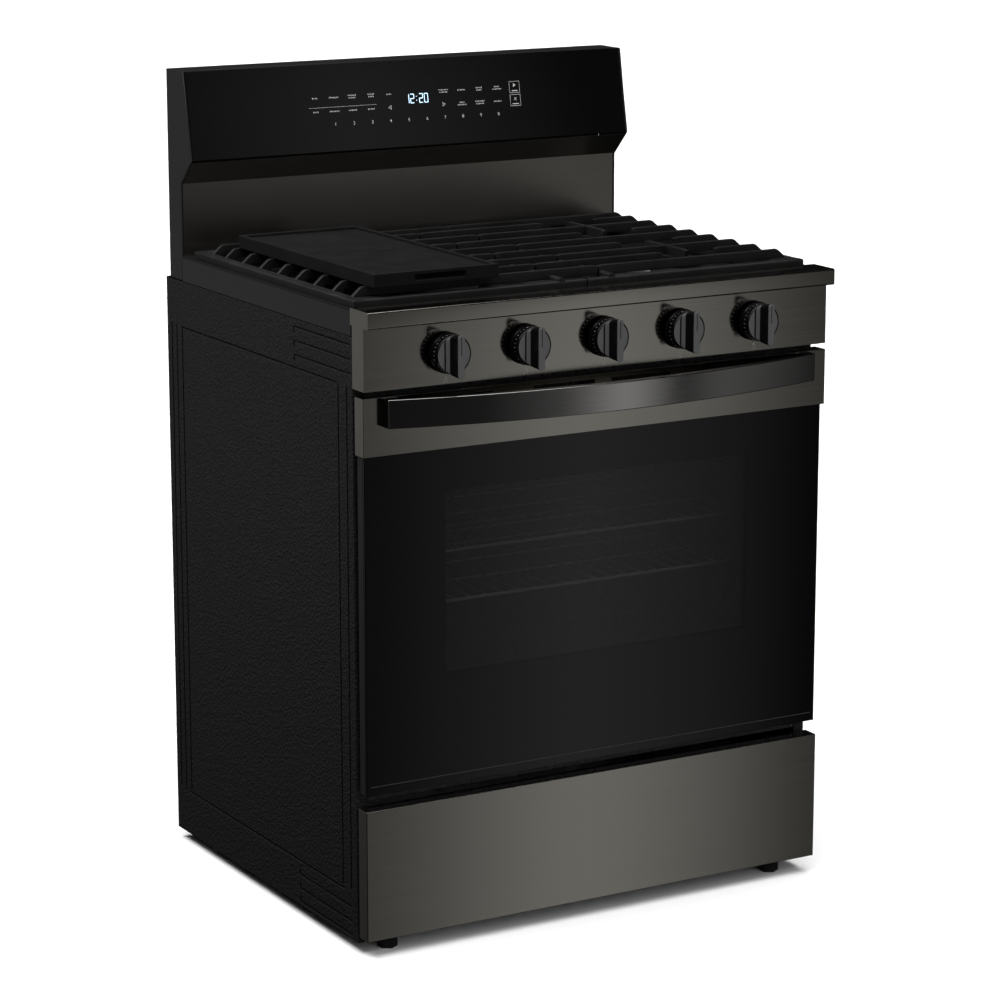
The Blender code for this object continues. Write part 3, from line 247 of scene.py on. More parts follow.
def level_shading(mesh):
    """Keeps wide flat faces flat beside their rounded edges."""
    carrier = new_object("carrier", mesh)
    carrier.modifiers.new("Shading", "WEIGHTED_NORMAL").keep_sharp = True
    return made_mesh(carrier)


def place_piece(name, mesh, body, nodes=()):
    piece = new_object(name, level_shading(mesh))
    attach(piece, body)
    if nodes:
        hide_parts(*nodes)


def merged_copy(node):
    """The node's solid as one closed mesh with flat faces made whole."""
    work = bmesh.new()
    work.from_mesh(frame["nodes"][node].data)
    bmesh.ops.remove_doubles(work, verts=work.verts, dist=1e-6)
    bmesh.ops.dissolve_limit(
        work, angle_limit=radians(1.0), use_dissolve_boundaries=False, verts=work.verts, edges=work.edges
    )
    return work


def eased(work, width, segments=2, angle=30):
    """Rounds every edge sharper than the angle."""
    edges = [e for e in work.edges if e.is_manifold and e.calc_face_angle() > radians(angle)]
    bmesh.ops.bevel(
        work, geom=edges, offset=width, offset_type="OFFSET", segments=segments, profile=0.5, affect="EDGES",
        clamp_overlap=True,
    )


def to_mesh(work, name, degrees=32):
    mesh = bpy.data.meshes.new(name)
    bmesh.ops.recalc_face_normals(work, faces=work.faces)
    work.to_mesh(mesh)
    work.free()
    smooth_by_angle(mesh, degrees)
    return mesh


def eased_node(node, material, width, segments, angle, slot):
    work = merged_copy(node)
    eased(work, width, segments, angle)
    place_piece(node + "_eased", finished(to_mesh(work, node), material), body_holding(node), (node,))


# Forms that repeat or follow a path
def new_tree(name, inputs):
    tree = bpy.data.node_groups.new(name, "GeometryNodeTree")
    tree.interface.new_socket("Geometry", in_out="INPUT", socket_type="NodeSocketGeometry")
    for label, kind in inputs:
        tree.interface.new_socket(label, in_out="INPUT", socket_type="NodeSocket" + kind)
    tree.interface.new_socket("Geometry", in_out="OUTPUT", socket_type="NodeSocketGeometry")
    return tree, tree.nodes.new("NodeGroupInput")


def close_tree(tree, given, last, output):
    """Ends a tree: instances made real, then the finish set."""
    real = tree.nodes.new("GeometryNodeRealizeInstances")
    finish = tree.nodes.new("GeometryNodeSetMaterial")
    end = tree.nodes.new("NodeGroupOutput")
    join_all(tree, (last, output, real, "Geometry"), (real, "Geometry", finish, "Geometry"),
        (given, "Finish", finish, "Material"), (finish, "Geometry", end, "Geometry"))


def sweep_tree():
    """A rounded rectangle carried along every path of edges."""
    tree, given = new_tree("swept_bar", [("Width", "Float"), ("Height", "Float"), ("Corner", "Float"),
        ("Corner Steps", "Int"), ("Finish", "Material")])
    path = tree.nodes.new("GeometryNodeMeshToCurve")
    level = tree.nodes.new("GeometryNodeSetCurveNormal")
    level.mode = "Z_UP"
    section = tree.nodes.new("GeometryNodeCurvePrimitiveQuadrilateral")
    soften = tree.nodes.new("GeometryNodeFilletCurve")
    soften.mode = "POLY"
    bar = tree.nodes.new("GeometryNodeCurveToMesh")
    set_inputs(bar, Fill_Caps=True)
    join_all(tree, (given, "Geometry", path, "Mesh"), (path, "Curve", level, "Curve"),
        (given, "Width", section, "Width"), (given, "Height", section, "Height"),
        (section, "Curve", soften, "Curve"), (given, "Corner", soften, "Radius"),
        (given, "Corner Steps", soften, "Count"), (level, "Curve", bar, "Curve"),
        (soften, "Curve", bar, "Profile Curve"))
    close_tree(tree, given, bar, "Mesh")
    return tree


def scatter_tree():
    """Copies of one form on points, each turned to face the way its point says."""
    tree, given = new_tree("set_out", [("Form", "Object"), ("Twist", "Float"), ("Seed", "Int"),
        ("Finish", "Material")])
    form = tree.nodes.new("GeometryNodeObjectInfo")
    facing = tree.nodes.new("GeometryNodeInputNamedAttribute")
    facing.data_type = "FLOAT_VECTOR"
    set_inputs(facing, Name="facing")
    turn = tree.nodes.new("FunctionNodeAlignRotationToVector")
    turn.axis = "Z"
    chance = tree.nodes.new("FunctionNodeRandomValue")
    chance.data_type = "FLOAT"
    about = tree.nodes.new("FunctionNodeAxisAngleToRotation")
    set_inputs(about, Axis=(0, 0, 1))
    both = tree.nodes.new("FunctionNodeRotateRotation")
    both.rotation_space = "LOCAL"
    copies = tree.nodes.new("GeometryNodeInstanceOnPoints")
    join_all(tree, (given, "Form", form, "Object"), (facing, "Attribute", turn, "Vector"),
        (given, "Twist", chance, 3), (given, "Seed", chance, "Seed"), (chance, 1, about, "Angle"),
        (turn, "Rotation", both, "Rotation"), (about, "Rotation", both, "Rotate By"),
        (given, "Geometry", copies, "Points"), (form, "Geometry", copies, "Instance"),
        (both, "Rotation", copies, "Rotation"))
    close_tree(tree, given, copies, "Instances")
    return tree


SWEEP = sweep_tree()
SET_OUT = scatter_tree()


def grow(tree, seed_mesh, values):
    """Runs a tree on a mesh and gives back what it makes as a plain mesh."""
    carrier = new_object("carrier", seed_mesh)
    modifier = carrier.modifiers.new("grow", "NODES")
    modifier.node_group = tree
    for item in tree.interface.items_tree:
        if item.item_type == "SOCKET" and item.in_out == "INPUT" and item.name in values:
            modifier[item.identifier] = values[item.name]
    return made_mesh(carrier)


def path_mesh(paths, closed=False):
    points, edges = [], []
    for path in paths:
        start = len(points)
        points += [tuple(p) for p in path]
        edges += [(i, i + 1) for i in range(start, len(points) - 1)]
        if closed:
            edges.append((len(points) - 1, start))
    mesh = new_mesh("paths", points, edges, [])
    return mesh


def swept(paths, width, height, corner, finish, steps=2, closed=False):
    mesh = grow(SWEEP, path_mesh(paths, closed), {
        "Width": width, "Height": height, "Corner": corner, "Corner Steps": steps, "Finish": finish,
    })
    smooth_by_angle(mesh, 40)
    return mesh


def rod(paths, radius, finish, steps=3, closed=False):
    return swept(paths, 2 * radius, 2 * radius, radius * 0.999, finish, steps, closed)


def set_out(form, places, finish, twist=0.0, seed=1):
    """places: (point, facing) pairs."""
    mesh = new_mesh("places", [tuple(p) for p, _ in places], [], [])
    facing = mesh.attributes.new("facing", "FLOAT_VECTOR", "POINT")
    for number, (_, way) in enumerate(places):
        facing.data[number].vector = way
    made = grow(SET_OUT, mesh, {"Form": form, "Twist": twist, "Seed": seed, "Finish": finish})
    smooth_by_angle(made, 30)
    return made


FORMS = []


def form_object(name, mesh):
    form = new_object(name, mesh)
    FORMS.append(form)
    return form


def joined(*meshes):
    """One mesh from several, materials kept."""
    slots = []
    work = bmesh.new()
    for mesh in meshes:
        places = []
        for material in mesh.materials:
            if material not in slots:
                slots.append(material)
            places.append(slots.index(material))
        before = len(work.faces)
        work.from_mesh(mesh)
        work.faces.ensure_lookup_table()
        for face in work.faces[before:]:
            face.material_index = places[face.material_index] if places else 0
    result = bpy.data.meshes.new("joined")
    work.to_mesh(result)
    work.free()
    for material in slots:
        result.materials.append(material)
    return result


def turned_mesh(profile, centre, axis, steps=40, degrees=32):
    """(radius, height) points turned round an axis through the centre."""
    work = bmesh.new()
    points = [work.verts.new((radius, 0, height)) for radius, height in profile]
    edges = [work.edges.new(pair) for pair in zip(points, points[1:])]
    bmesh.ops.spin(work, geom=points + edges, cent=(0, 0, 0), axis=(0, 0, 1), angle=tau, steps=steps,
        use_merge=True)
    bmesh.ops.remove_doubles(work, verts=work.verts, dist=1e-6)
    turn = Vector((0, 0, 1)).rotation_difference(Vector(axis)).to_matrix().to_4x4()
    work.transform(Matrix.Translation(centre) @ turn)
    return to_mesh(work, "turned", degrees)


def finished(mesh, material):
    mesh.materials.clear()
    mesh.materials.append(material)
    return mesh


def eased_box(low, high, width=0.0006, segments=2):
    work = bmesh.new()
    low, high = Vector(low), Vector(high)
    size = Matrix.Diagonal((*(high - low), 1))
    bmesh.ops.create_cube(work, size=1, matrix=Matrix.Translation((low + high) / 2) @ size)
    eased(work, width, segments)
    return to_mesh(work, "eased")


def screw_forms():
    """A pan head and its cross recess, standing on their own axis."""
    profile = [(0.0, 0.0016), (0.0016, 0.0015), (0.0028, 0.001), (0.0034, 0.0003), (0.0035, 0.0)]
    head = turned_mesh(profile, (0, 0, 0), (0, 0, 1), 14)
    arm = eased_box((-0.0019, -0.00035, 0.0013), (0.0019, 0.00035, 0.00165), 0.0001, 1)
    other = arm.copy()
    other.transform(Matrix.Rotation(pi / 2, 4, "Z"))
    return form_object("screw_head", head), form_object("screw_recess", joined(arm, other))


SCREW_HEAD, SCREW_RECESS = screw_forms()


def screws(places, seed):
    """Screws at the places, each stopped at a chance angle."""
    heads = set_out(SCREW_HEAD, places, BRIGHT, pi, seed)
    # The cross recess is a dark cross of painted shade on each head.
    return joined(heads, set_out(SCREW_RECESS, places, HOLE_SHADE, pi, seed))


# Body
GROOVE_HALF = 0.0026
SEAM_SHADOW = 0.001
GROOVE_DEPTH = 0.0007
EDGE_ROUND = 0.0016
LINE_ENDS_Y = [-0.244, -0.076, -0.235, -0.074, 0.296]
LINE_ENDS_Z = [0.088, 0.81, 0.857, 0.837, 0.817, 0.073, 0.052, 0.032]


def side_grooves():
    """Pressed lines of a side panel: (along, at, start, end)."""
    lines = [("y", 0.808, -0.204, 0.296), ("y", 0.085, -0.208, 0.3)]
    lines += [("z", y, 0.088, 0.81) for y in (0.331, 0.314, 0.295)]
    lines += [("z", y, 0.09, 0.806) for y in (-0.208, -0.233)]
    lines += [("y", z, -0.244, -0.076) for z in (0.866, 0.846, 0.826)]
    lines += [("z", -0.076, z - 0.009, z) for z in (0.866, 0.846, 0.826)]
    lines += [("y", z, -0.235, -0.074) for z in (0.064, 0.043, 0.023)]
    lines += [("z", -0.074, z, z + 0.009) for z in (0.064, 0.043, 0.023)]
    return lines


def groove_depth(y, z, lines):
    deepest = 0.0
    for along, at, start, end in lines:
        here, across = (y, z - at) if along == "y" else (z, y - at)
        past = max(start - here, here - end, 0.0)
        gap = hypot(past, across)
        if gap < GROOVE_HALF:
            deepest = max(deepest, GROOVE_DEPTH * (0.5 + 0.5 * cos(pi * gap / GROOVE_HALF)))
    return deepest


def in_shadow(y, z, lines):
    """Whether a spot lies in the dark bottom of a pressed line."""
    for along, at, start, end in lines:
        here, across, share = (y, z - at, 0.3) if along == "y" else (z, y - at, 0.64)
        if abs(across) < share * GROOVE_HALF and start <= here <= end:
            return True
    return False


def fine_lines(low, high, centres):
    """Grid lines that crowd at the centres and at both ends."""
    values = {low, high}
    for share in (0.07, 0.3, 0.62, 1.0):
        values.update((low + EDGE_ROUND * share, high - EDGE_ROUND * share))
    for centre in centres:
        values.update(centre + GROOVE_HALF * s for s in (-1.0, -0.62, -0.28, 0.0, 0.28, 0.62, 1.0))
    count = int((high - low) / 0.04)
    values.update(low + (high - low) * i / count for i in range(count + 1))
    ordered = sorted(v for v in values if low <= v <= high)
    kept = [ordered[0]]
    for value in ordered[1:]:
        if value - kept[-1] > 0.0002:
            kept.append(value)
    kept[-1] = high
    return kept


def rounding(gap):
    """How far a rounded edge falls back at this distance from the edge."""
    if gap >= EDGE_ROUND:
        return 0.0
    return EDGE_ROUND - sqrt(max(EDGE_ROUND ** 2 - (EDGE_ROUND - gap) ** 2, 0.0))


def build_side_panel(side, sign):
    node = "side_panel_" + side
    low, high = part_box(node)
    lines = side_grooves()
    ys = fine_lines(low.y, high.y, [line[1] for line in lines if line[0] == "z"] + LINE_ENDS_Y)
    zs = fine_lines(low.z, high.z, [line[1] for line in lines if line[0] == "y"] + LINE_ENDS_Z)
    outer = max(abs(low.x), abs(high.x))
    inner = min(abs(low.x), abs(high.x))
    work = bmesh.new()
    grid = []
    for z in zs:
        row = []
        for y in ys:
            edge = min(y - low.y, high.y - y, z - low.z, high.z - z)
            x = outer - rounding(edge) - groove_depth(y, z, lines)
            row.append(work.verts.new((sign * x, y, z)))
        grid.append(row)
    for a, b in zip(grid, grid[1:]):
        for i in range(len(ys) - 1):
            face = work.faces.new((a[i], a[i + 1], b[i + 1], b[i]))
            middle = face.calc_center_median()
            face.material_index = int(in_shadow(middle.y, middle.z, lines) or high.z - middle.z < SEAM_SHADOW)
    rim = [e for e in work.edges if e.is_boundary]
    folded = bmesh.ops.extrude_edge_only(work, edges=rim)["geom"]
    for vert in folded:
        if isinstance(vert, bmesh.types.BMVert):
            vert.co.x = sign * inner
    bmesh.ops.recalc_face_normals(work, faces=work.faces)
    mesh = bpy.data.meshes.new(node)
    mesh.materials.append(LEATHER)
    mesh.materials.append(GROOVE)
    work.to_mesh(mesh)
    work.free()
    piece = new_object("carrier", mesh)
    sheet = piece.modifiers.new("Sheet", "SOLIDIFY")
    sheet.thickness = 0.001
    sheet.offset = -1
    whole = made_mesh(piece)
    smooth_by_angle(whole, 50)
    place_piece(node + "_skin", whole, "range", (node,))


def rounded_ring(half_x, low_y, high_y, radius, z, steps=6):
    corners = [(half_x - radius, high_y - radius, 0), (-half_x + radius, high_y - radius, 90),
        (-half_x + radius, low_y + radius, 180), (half_x - radius, low_y + radius, 270)]
    ring = []
    for x, y, start in corners:
        for i in range(steps + 1):
            a = radians(start + 90 * i / steps)
            ring.append((x + radius * cos(a), y + radius * sin(a), z))
    return ring


def lofted(rings, cap_last=True):
    work = bmesh.new()
    rows = [[work.verts.new(p) for p in ring] for ring in rings]
    count = len(rows[0])
    for a, b in zip(rows, rows[1:]):
        for i in range(count):
            j = (i + 1) % count
            work.faces.new((a[i], a[j], b[j], b[i]))
    if cap_last:
        work.faces.new(rows[-1])
    return work


def build_cooktop():
    """A pressed top: skirt, rounded rim, rounded walls and a flat well."""
    low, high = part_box("cooktop")
    grate_low, grate_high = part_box("grate_left")
    well_x = abs(grate_low.x) + 0.002
    well_front = grate_low.y - 0.002
    well_rear = grate_high.y + 0.002
    floor = grate_low.z - 0.0004
    edge, foot = 0.003, 0.006
    quarter = [(sin(radians(18 * i)), 1 - cos(radians(18 * i))) for i in range(6)]
    rings = [rounded_ring(high.x, low.y, high.y, 0.004, z) for z in (low.z, high.z - edge)]
    for sine, fall in quarter[1:]:
        back = edge * fall
        rings.append(rounded_ring(high.x - back, low.y + back, high.y - back, 0.0042,
            high.z - edge + edge * sine))
    walls = [(edge * sine - edge, 0.012, high.z - edge * fall) for sine, fall in quarter]
    walls += [(foot * fall, 0.014, floor + foot * (1 - sine)) for sine, fall in quarter]
    for inset, radius, z in walls:
        rings.append(rounded_ring(well_x - inset, well_front + inset, well_rear - inset, radius, z))
    mesh = to_mesh(lofted(rings), "cooktop", 40)
    place_piece("cooktop_pressing", finished(mesh, COOKTOP), "range", ("cooktop",))


# Grates
def grate_bar(inner_x, outer_x, y, sign, foot, level):
    """Centre line of one bar, from its inner end out; a foot curls down into the side rail."""
    path = [(inner_x, y, level - 0.0012), (inner_x + sign * 0.007, y, level)]
    if foot:
        path += [(outer_x - sign * 0.012, y, level), (outer_x - sign * 0.0105, y, level - 0.0006),
            (outer_x + sign * 0.0015, y, level - 0.011), (outer_x + sign * 0.0035, y, level - 0.0122),
            (outer_x + sign * 0.01, y, level - 0.0135)]
    else:
        path += [(outer_x - sign * 0.007, y, level), (outer_x, y, level - 0.0014)]
    return path


def build_grate(side, sign):
    node = "grate_" + side
    low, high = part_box(node)
    outer = sign * max(abs(low.x), abs(high.x))
    depth = high.y - low.y
    bars_y = [low.y + (0.063 + 0.1111 * i) * depth for i in range(8)]
    bars_y.append(bars_y[-1] + 0.0836 * depth)
    level = high.z - 0.007
    rail = outer - sign * 0.018
    burner = sign * 0.2245
    bars = []
    for number, y in enumerate(bars_y):
        crosses = (number % 2 == 0) == (side == "left")
        start = -sign * 0.0335 if crosses else sign * 0.0365
        if number % 2:
            bars.append(grate_bar(start, burner - sign * 0.0465, y, sign, False, level))
            bars.append(grate_bar(burner + sign * 0.0465, rail, y, sign, True, level))
        else:
            bars.append(grate_bar(start, rail, y, sign, True, level))
    for number in (2, 6):
        centre = bars_y[number]
        ends = [(-0.054, -0.0014), (-0.047, 0), (0.047, 0), (0.054, -0.0014)]
        bars.append([(burner, centre + step, level - 0.0003 + drop) for step, drop in ends])
    tops = swept(bars, 0.0072, 0.0138, 0.0016, IRON, 2)
    rail_mid = (low.z + 0.925) / 2
    side_rail = swept([[(outer - sign * 0.009, low.y + 0.001, rail_mid),
        (outer - sign * 0.009, high.y - 0.001, rail_mid)]], 0.018, 0.0265, 0.003, IRON, 3)
    seam = sign * 0.0012
    ends = swept([[(seam, low.y + 0.007, rail_mid), (outer - sign * 0.002, low.y + 0.007, rail_mid)],
        [(seam, high.y - 0.007, rail_mid), (outer - sign * 0.002, high.y - 0.007, rail_mid)]], 0.0138,
        0.0268, 0.003, IRON, 3)
    inner_mid = (low.z + 0.93) / 2
    inner = swept([[(sign * 0.041, low.y + 0.001, inner_mid), (sign * 0.041, high.y - 0.001, inner_mid)]],
        0.0098, 0.0316, 0.003, IRON, 3)
    webs = [web(corner) for corner in grate_webs(sign, outer, low.y, high.y)]
    mesh = joined(tops, side_rail, ends, inner, *[finished(w, IRON) for w in webs])
    mesh.set_sharp_from_angle(angle=radians(40))
    place_piece(node + "_casting", mesh, node, (node,))


def grate_webs(sign, outer, front, rear):
    """Flat webs in the rails' corners, each a triangle seen from above."""
    inner = sign * 0.045
    along = sign * 0.062
    return [
        [(inner, front + 0.012), (inner + along, front + 0.012), (inner, front + 0.05)],
        [(outer - sign * 0.017, front + 0.012), (outer - sign * 0.06, front + 0.012),
            (outer - sign * 0.017, front + 0.044)],
        [(sign * 0.115, front + 0.012), (sign * 0.172, front + 0.012), (sign * 0.15, front + 0.04),
            (sign * 0.13, front + 0.04)],
        [(inner, rear - 0.012), (inner + along, rear - 0.012), (inner, rear - 0.046)],
        [(sign * 0.215, rear - 0.012), (sign * 0.275, rear - 0.012), (sign * 0.262, rear - 0.034),
            (sign * 0.226, rear - 0.034)],
        [(outer - sign * 0.017, rear - 0.012), (outer - sign * 0.058, rear - 0.012),
            (outer - sign * 0.017, rear - 0.044)],
    ]


def web(outline, bottom=0.9175, top=0.924):
    work = bmesh.new()
    lower = [work.verts.new((x, y, bottom)) for x, y in outline]
    upper = [work.verts.new((x, y, top)) for x, y in outline]
    work.faces.new(lower)
    work.faces.new(upper)
    for i in range(len(outline)):
        j = (i + 1) % len(outline)
        work.faces.new((lower[i], lower[j], upper[j], upper[i]))
    bmesh.ops.recalc_face_normals(work, faces=work.faces)
    eased(work, 0.0012, 2)
    return to_mesh(work, "web")


# Burners
# Small dark marks of painted shade that stand for the burner port holes.
PORT = form_object("port", eased_box((-0.0011, -0.0011, -0.0006), (0.0011, 0.0011, 0.0003), 0.0003, 1))


def stadium_points(half_length, half_width, centre, z, count=14):
    """A long round outline along Y about the centre."""
    x0, y0 = centre
    reach = half_length - half_width
    points = []
    for start, way in ((0, 1), (180, -1)):
        for i in range(count + 1):
            a = radians(start + 180 * i / count)
            points.append((x0 + half_width * cos(a), y0 + way * reach + half_width * sin(a), z))
    return points


def build_round_burner(place):
    head, cap = "burner_head_" + place, "burner_cap_" + place
    low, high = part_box(head)
    cap_low, cap_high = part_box(cap)
    centre = ((low.x + high.x) / 2, (low.y + high.y) / 2)
    base = (high.x - low.x) / 2
    radius = base - 0.008
    floor = high.z - 0.0135
    profile = [(0, high.z - floor), (radius - 0.0015, high.z - floor), (radius, high.z - floor - 0.0012),
        (radius, 0.0078), (radius + 0.0012, 0.0064), (base - 0.0015, 0.0042), (base, 0.0034), (base, 0.0)]
    body = finished(turned_mesh(profile, (*centre, floor), (0, 0, 1), 48), BURNER)
    count = 28 if radius > 0.04 else 22
    places = []
    for i in range(count):
        a = tau * i / count
        way = (cos(a), sin(a), 0)
        places.append(((centre[0] + way[0] * radius, centre[1] + way[1] * radius, floor + 0.0102), way))
    ports = set_out(PORT, places, HOLE_SHADE)
    place_piece(head + "_turned", joined(body, ports), "range", (head,))
    rim = (cap_high.x - cap_low.x) / 2
    top = cap_high.z - cap_low.z
    cap_profile = [(0, top), (rim * 0.55, top - 0.0001), (rim * 0.86, top - 0.0007),
        (rim - 0.0018, top - 0.0017), (rim - 0.0004, top - 0.0032), (rim, top - 0.0046),
        (rim - 0.0006, 0.0004), (rim - 0.0014, 0), (0, 0)]
    mesh = finished(turned_mesh(cap_profile, (*centre, cap_low.z), (0, 0, 1), 56, 50), IRON)
    place_piece(cap + "_turned", mesh, "range", (cap,))


def build_oval_burner():
    low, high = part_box("burner_head_centre")
    cap_low, cap_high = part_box("burner_cap_centre")
    centre = (0.0, (cap_low.y + cap_high.y) / 2)
    half_length, half_width = (high.y - low.y) / 2, (high.x - low.x) / 2
    floor = high.z - 0.0135
    rings = []
    for inset, z in ((0, floor), (0, floor + 0.003), (0.004, floor + 0.005), (0.0042, high.z - 0.0012),
            (0.0055, high.z), (0.02, high.z)):
        rings.append(stadium_points(half_length - inset, half_width - inset, centre, z))
    body = finished(to_mesh(lofted(rings), "oval"), BURNER)
    outline = stadium_points(half_length - 0.0041, half_width - 0.0041, centre, floor + 0.0092, 20)
    places = []
    for before, point, after in zip(outline[-1:] + outline[:-1], outline, outline[1:] + outline[:1]):
        run = Vector(after) - Vector(before)
        places.append((point, Vector((run.y, -run.x, 0)).normalized()))
    reach = half_length - half_width
    for i in range(1, 12):
        y = centre[1] - reach + 2 * reach * i / 12
        for side in (-1, 1):
            places.append(((side * (half_width - 0.0041), y, floor + 0.0092), (side, 0, 0)))
    ports = set_out(PORT, places, HOLE_SHADE)
    place_piece("burner_head_centre_oval", joined(body, ports), "range", ("burner_head_centre",))
    half_length, half_width = (cap_high.y - cap_low.y) / 2, (cap_high.x - cap_low.x) / 2
    rings = []
    for inset, z in ((0.001, cap_low.z), (0, cap_low.z + 0.0008), (0, cap_high.z - 0.0042),
            (0.0006, cap_high.z - 0.0028), (0.0022, cap_high.z - 0.0014), (0.005, cap_high.z - 0.0006),
            (0.011, cap_high.z - 0.0001), (0.02, cap_high.z)):
        rings.append(stadium_points(half_length - inset, half_width - inset, centre, z))
    mesh = finished(to_mesh(lofted(rings), "oval_cap", 50), IRON)
    place_piece("burner_cap_centre_oval", mesh, "range", ("burner_cap_centre",))


# Knobs
TICK = form_object("tick", eased_box((-0.0003, -0.001, -0.0002), (0.0003, 0.001, 0.00012), 0.0001, 1))


def grip_outline(half_width, half_length, steps=6):
    points = []
    for x, z, start in ((1, 1, 0), (-1, 1, 90), (-1, -1, 180), (1, -1, 270)):
        for i in range(steps + 1):
            a = radians(start + 90 * i / steps)
            corner = min(half_width, 0.0045)
            points.append((x * (half_width - corner) + corner * cos(a),
                z * (half_length - corner) + corner * sin(a)))
    return points


DISC_DEPTH = 0.0195
GRIP_SEAM = ((0.0185, 0.0152, 0.0212), (0.019, 0.015, 0.0215), (0.0205, 0.0134, 0.0238))
GRIP_FLANK = ((0.0205, 0.0134, 0.0238), (0.0222, 0.0114, 0.0255), (0.0245, 0.0094, 0.027))
GRIP_WALL = ((0.0245, 0.0094, 0.027), (0.0275, 0.0075, 0.0283), (0.032, 0.0061, 0.0291),
    (0.037, 0.0053, 0.0296), (0.039, 0.0051, 0.0299))
GRIP_TOP = ((0.039, 0.0051, 0.0299), (0.0397, 0.0049, 0.0298), (0.04, 0.0042, 0.0293))


def grip_part(centre, sections, finish, capped=False):
    """A run of the grip: each section is (reach, half width, half length)."""
    rows = []
    for reach, half_width, half_length in sections:
        rows.append([(centre.x + x, centre.y - reach, centre.z + z) for x,
            z in grip_outline(half_width, half_length)])
    return finished(to_mesh(lofted(rows, capped), "grip", 50), finish)


def build_knob(number):
    """A turned barrel with ticks, a satin face, and a tall grip with hollow flanks; the grip's flank and top
    runs take the face's lighter grey as painted highlight.
    """
    node = "knob_%d" % number
    low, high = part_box(node)
    centre = Vector(((low.x + high.x) / 2, high.y, (low.z + high.z) / 2))
    skirt, barrel, depth = (high.x - low.x) / 2, (high.x - low.x) / 2 - 0.0014, DISC_DEPTH
    profile = [(0.0045, 0.0), (skirt - 0.0008, 0.0), (skirt, 0.0008), (skirt - 0.0002, 0.0036),
        (skirt - 0.001, 0.0046), (barrel - 0.0004, 0.0056), (barrel, 0.0064), (barrel, depth - 0.0016),
        (barrel - 0.0004, depth - 0.0006), (barrel - 0.0011, depth), (barrel - 0.0017, depth - 0.0002),
        (barrel - 0.0021, depth - 0.0008), (0, depth - 0.0008)]
    body = finished(turned_mesh(profile, centre, (0, -1, 0), 56, 28), KNOB)
    face = [(0, 0.0), (barrel - 0.0024, 0.0), (barrel - 0.0026, -0.0005)]
    disc = finished(turned_mesh(face, centre + Vector((0, -(depth - 0.0004), 0)), (0, -1, 0), 48), KNOB_FACE_AND_HIGHLIGHT)
    # The lighter grey on the grip's flank and top runs is painted highlight.
    grip = [grip_part(centre, GRIP_SEAM, KNOB), grip_part(centre, GRIP_FLANK, KNOB_FACE_AND_HIGHLIGHT),
        grip_part(centre, GRIP_WALL, KNOB), grip_part(centre, GRIP_TOP, KNOB_FACE_AND_HIGHLIGHT, True)]
    index = eased_box((centre.x - 0.0007, low.y - 0.00005, centre.z + 0.002),
        (centre.x + 0.0007, low.y + 0.0004, centre.z + 0.027), 0.0001, 1)
    places = []
    for i in range(13):
        a = radians(105 + 12.5 * i)
        way = Vector((cos(a), 0, sin(a)))
        places.append((centre + way * barrel + Vector((0, -0.0115, 0)), way))
    ticks = set_out(TICK, places, PALE_PRINT)
    mesh = joined(body, disc, *grip, finished(index, KNOB), ticks)
    mesh.set_sharp_from_angle(angle=radians(35))
    place_piece(node + "_turned", mesh, node, (node,))


# Console
def console_frame():
    """Foot, upward direction and outward direction of the slanted glass."""
    low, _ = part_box("console_glass")
    up = Vector((0, 0.024, 0.129)).normalized()
    return Vector((0, low.y, 1.059)), up, Vector((0, -up.z, up.y))


PRINT_LIFT = 0.00012
CORNERS = ((-1, -1), (1, -1), (1, 1), (-1, 1))


def on_console(points, faces):
    foot, up, out = console_frame()
    mesh = new_mesh("mark", [tuple(foot + Vector((x, 0, 0)) + up * v + out * PRINT_LIFT) for x, v in points],
        [], faces)
    return mesh


def bar_mark(x, v, width, height):
    return on_console([(x + a * width / 2, v + b * height / 2) for a, b in CORNERS], [(0, 1, 2, 3)])


def text_mark(words, x, v, size, finish):
    curve = bpy.data.curves.new("digits", "FONT")
    curve.body = words
    curve.size = size
    curve.align_x = "CENTER"
    curve.align_y = "CENTER"
    mesh = made_mesh(new_object("digits", curve))
    foot, up, out = console_frame()
    place = Matrix.Identity(4)
    place.col[0] = (1, 0, 0, 0)
    place.col[1] = (*up, 0)
    place.col[2] = (*out, 0)
    place.col[3] = (*(foot + Vector((x, 0, 0)) + up * v + out * PRINT_LIFT), 1)
    mesh.transform(place)
    return finished(mesh, finish)


SEGMENTS = {"0": "abcdef", "1": "bc", "2": "abged"}


def clock_marks(x, v):
    """Lit strokes of a clock that reads twenty past twelve."""
    strokes, wide, tall, thick = [], 0.0058, 0.0132, 0.0013
    places = (-0.017, -0.0083, 0.0068, 0.0155)
    spots = {"a": (0, tall / 2, wide, thick), "g": (0, 0, wide, thick), "d": (0, -tall / 2, wide, thick),
        "f": (-wide / 2, tall / 4, thick, tall / 2), "b": (wide / 2, tall / 4, thick, tall / 2),
        "e": (-wide / 2, -tall / 4, thick, tall / 2), "c": (wide / 2, -tall / 4, thick, tall / 2)}
    for digit, place in zip("1220", places):
        for name in SEGMENTS[digit]:
            dx, dv, width, height = spots[name]
            strokes.append(bar_mark(x + place + dx, v + dv, width, height))
    strokes += [bar_mark(x - 0.001, v + 0.003, thick, thick), bar_mark(x - 0.001, v - 0.003, thick, thick)]
    return [finished(stroke, CLOCK_LIGHT) for stroke in strokes]


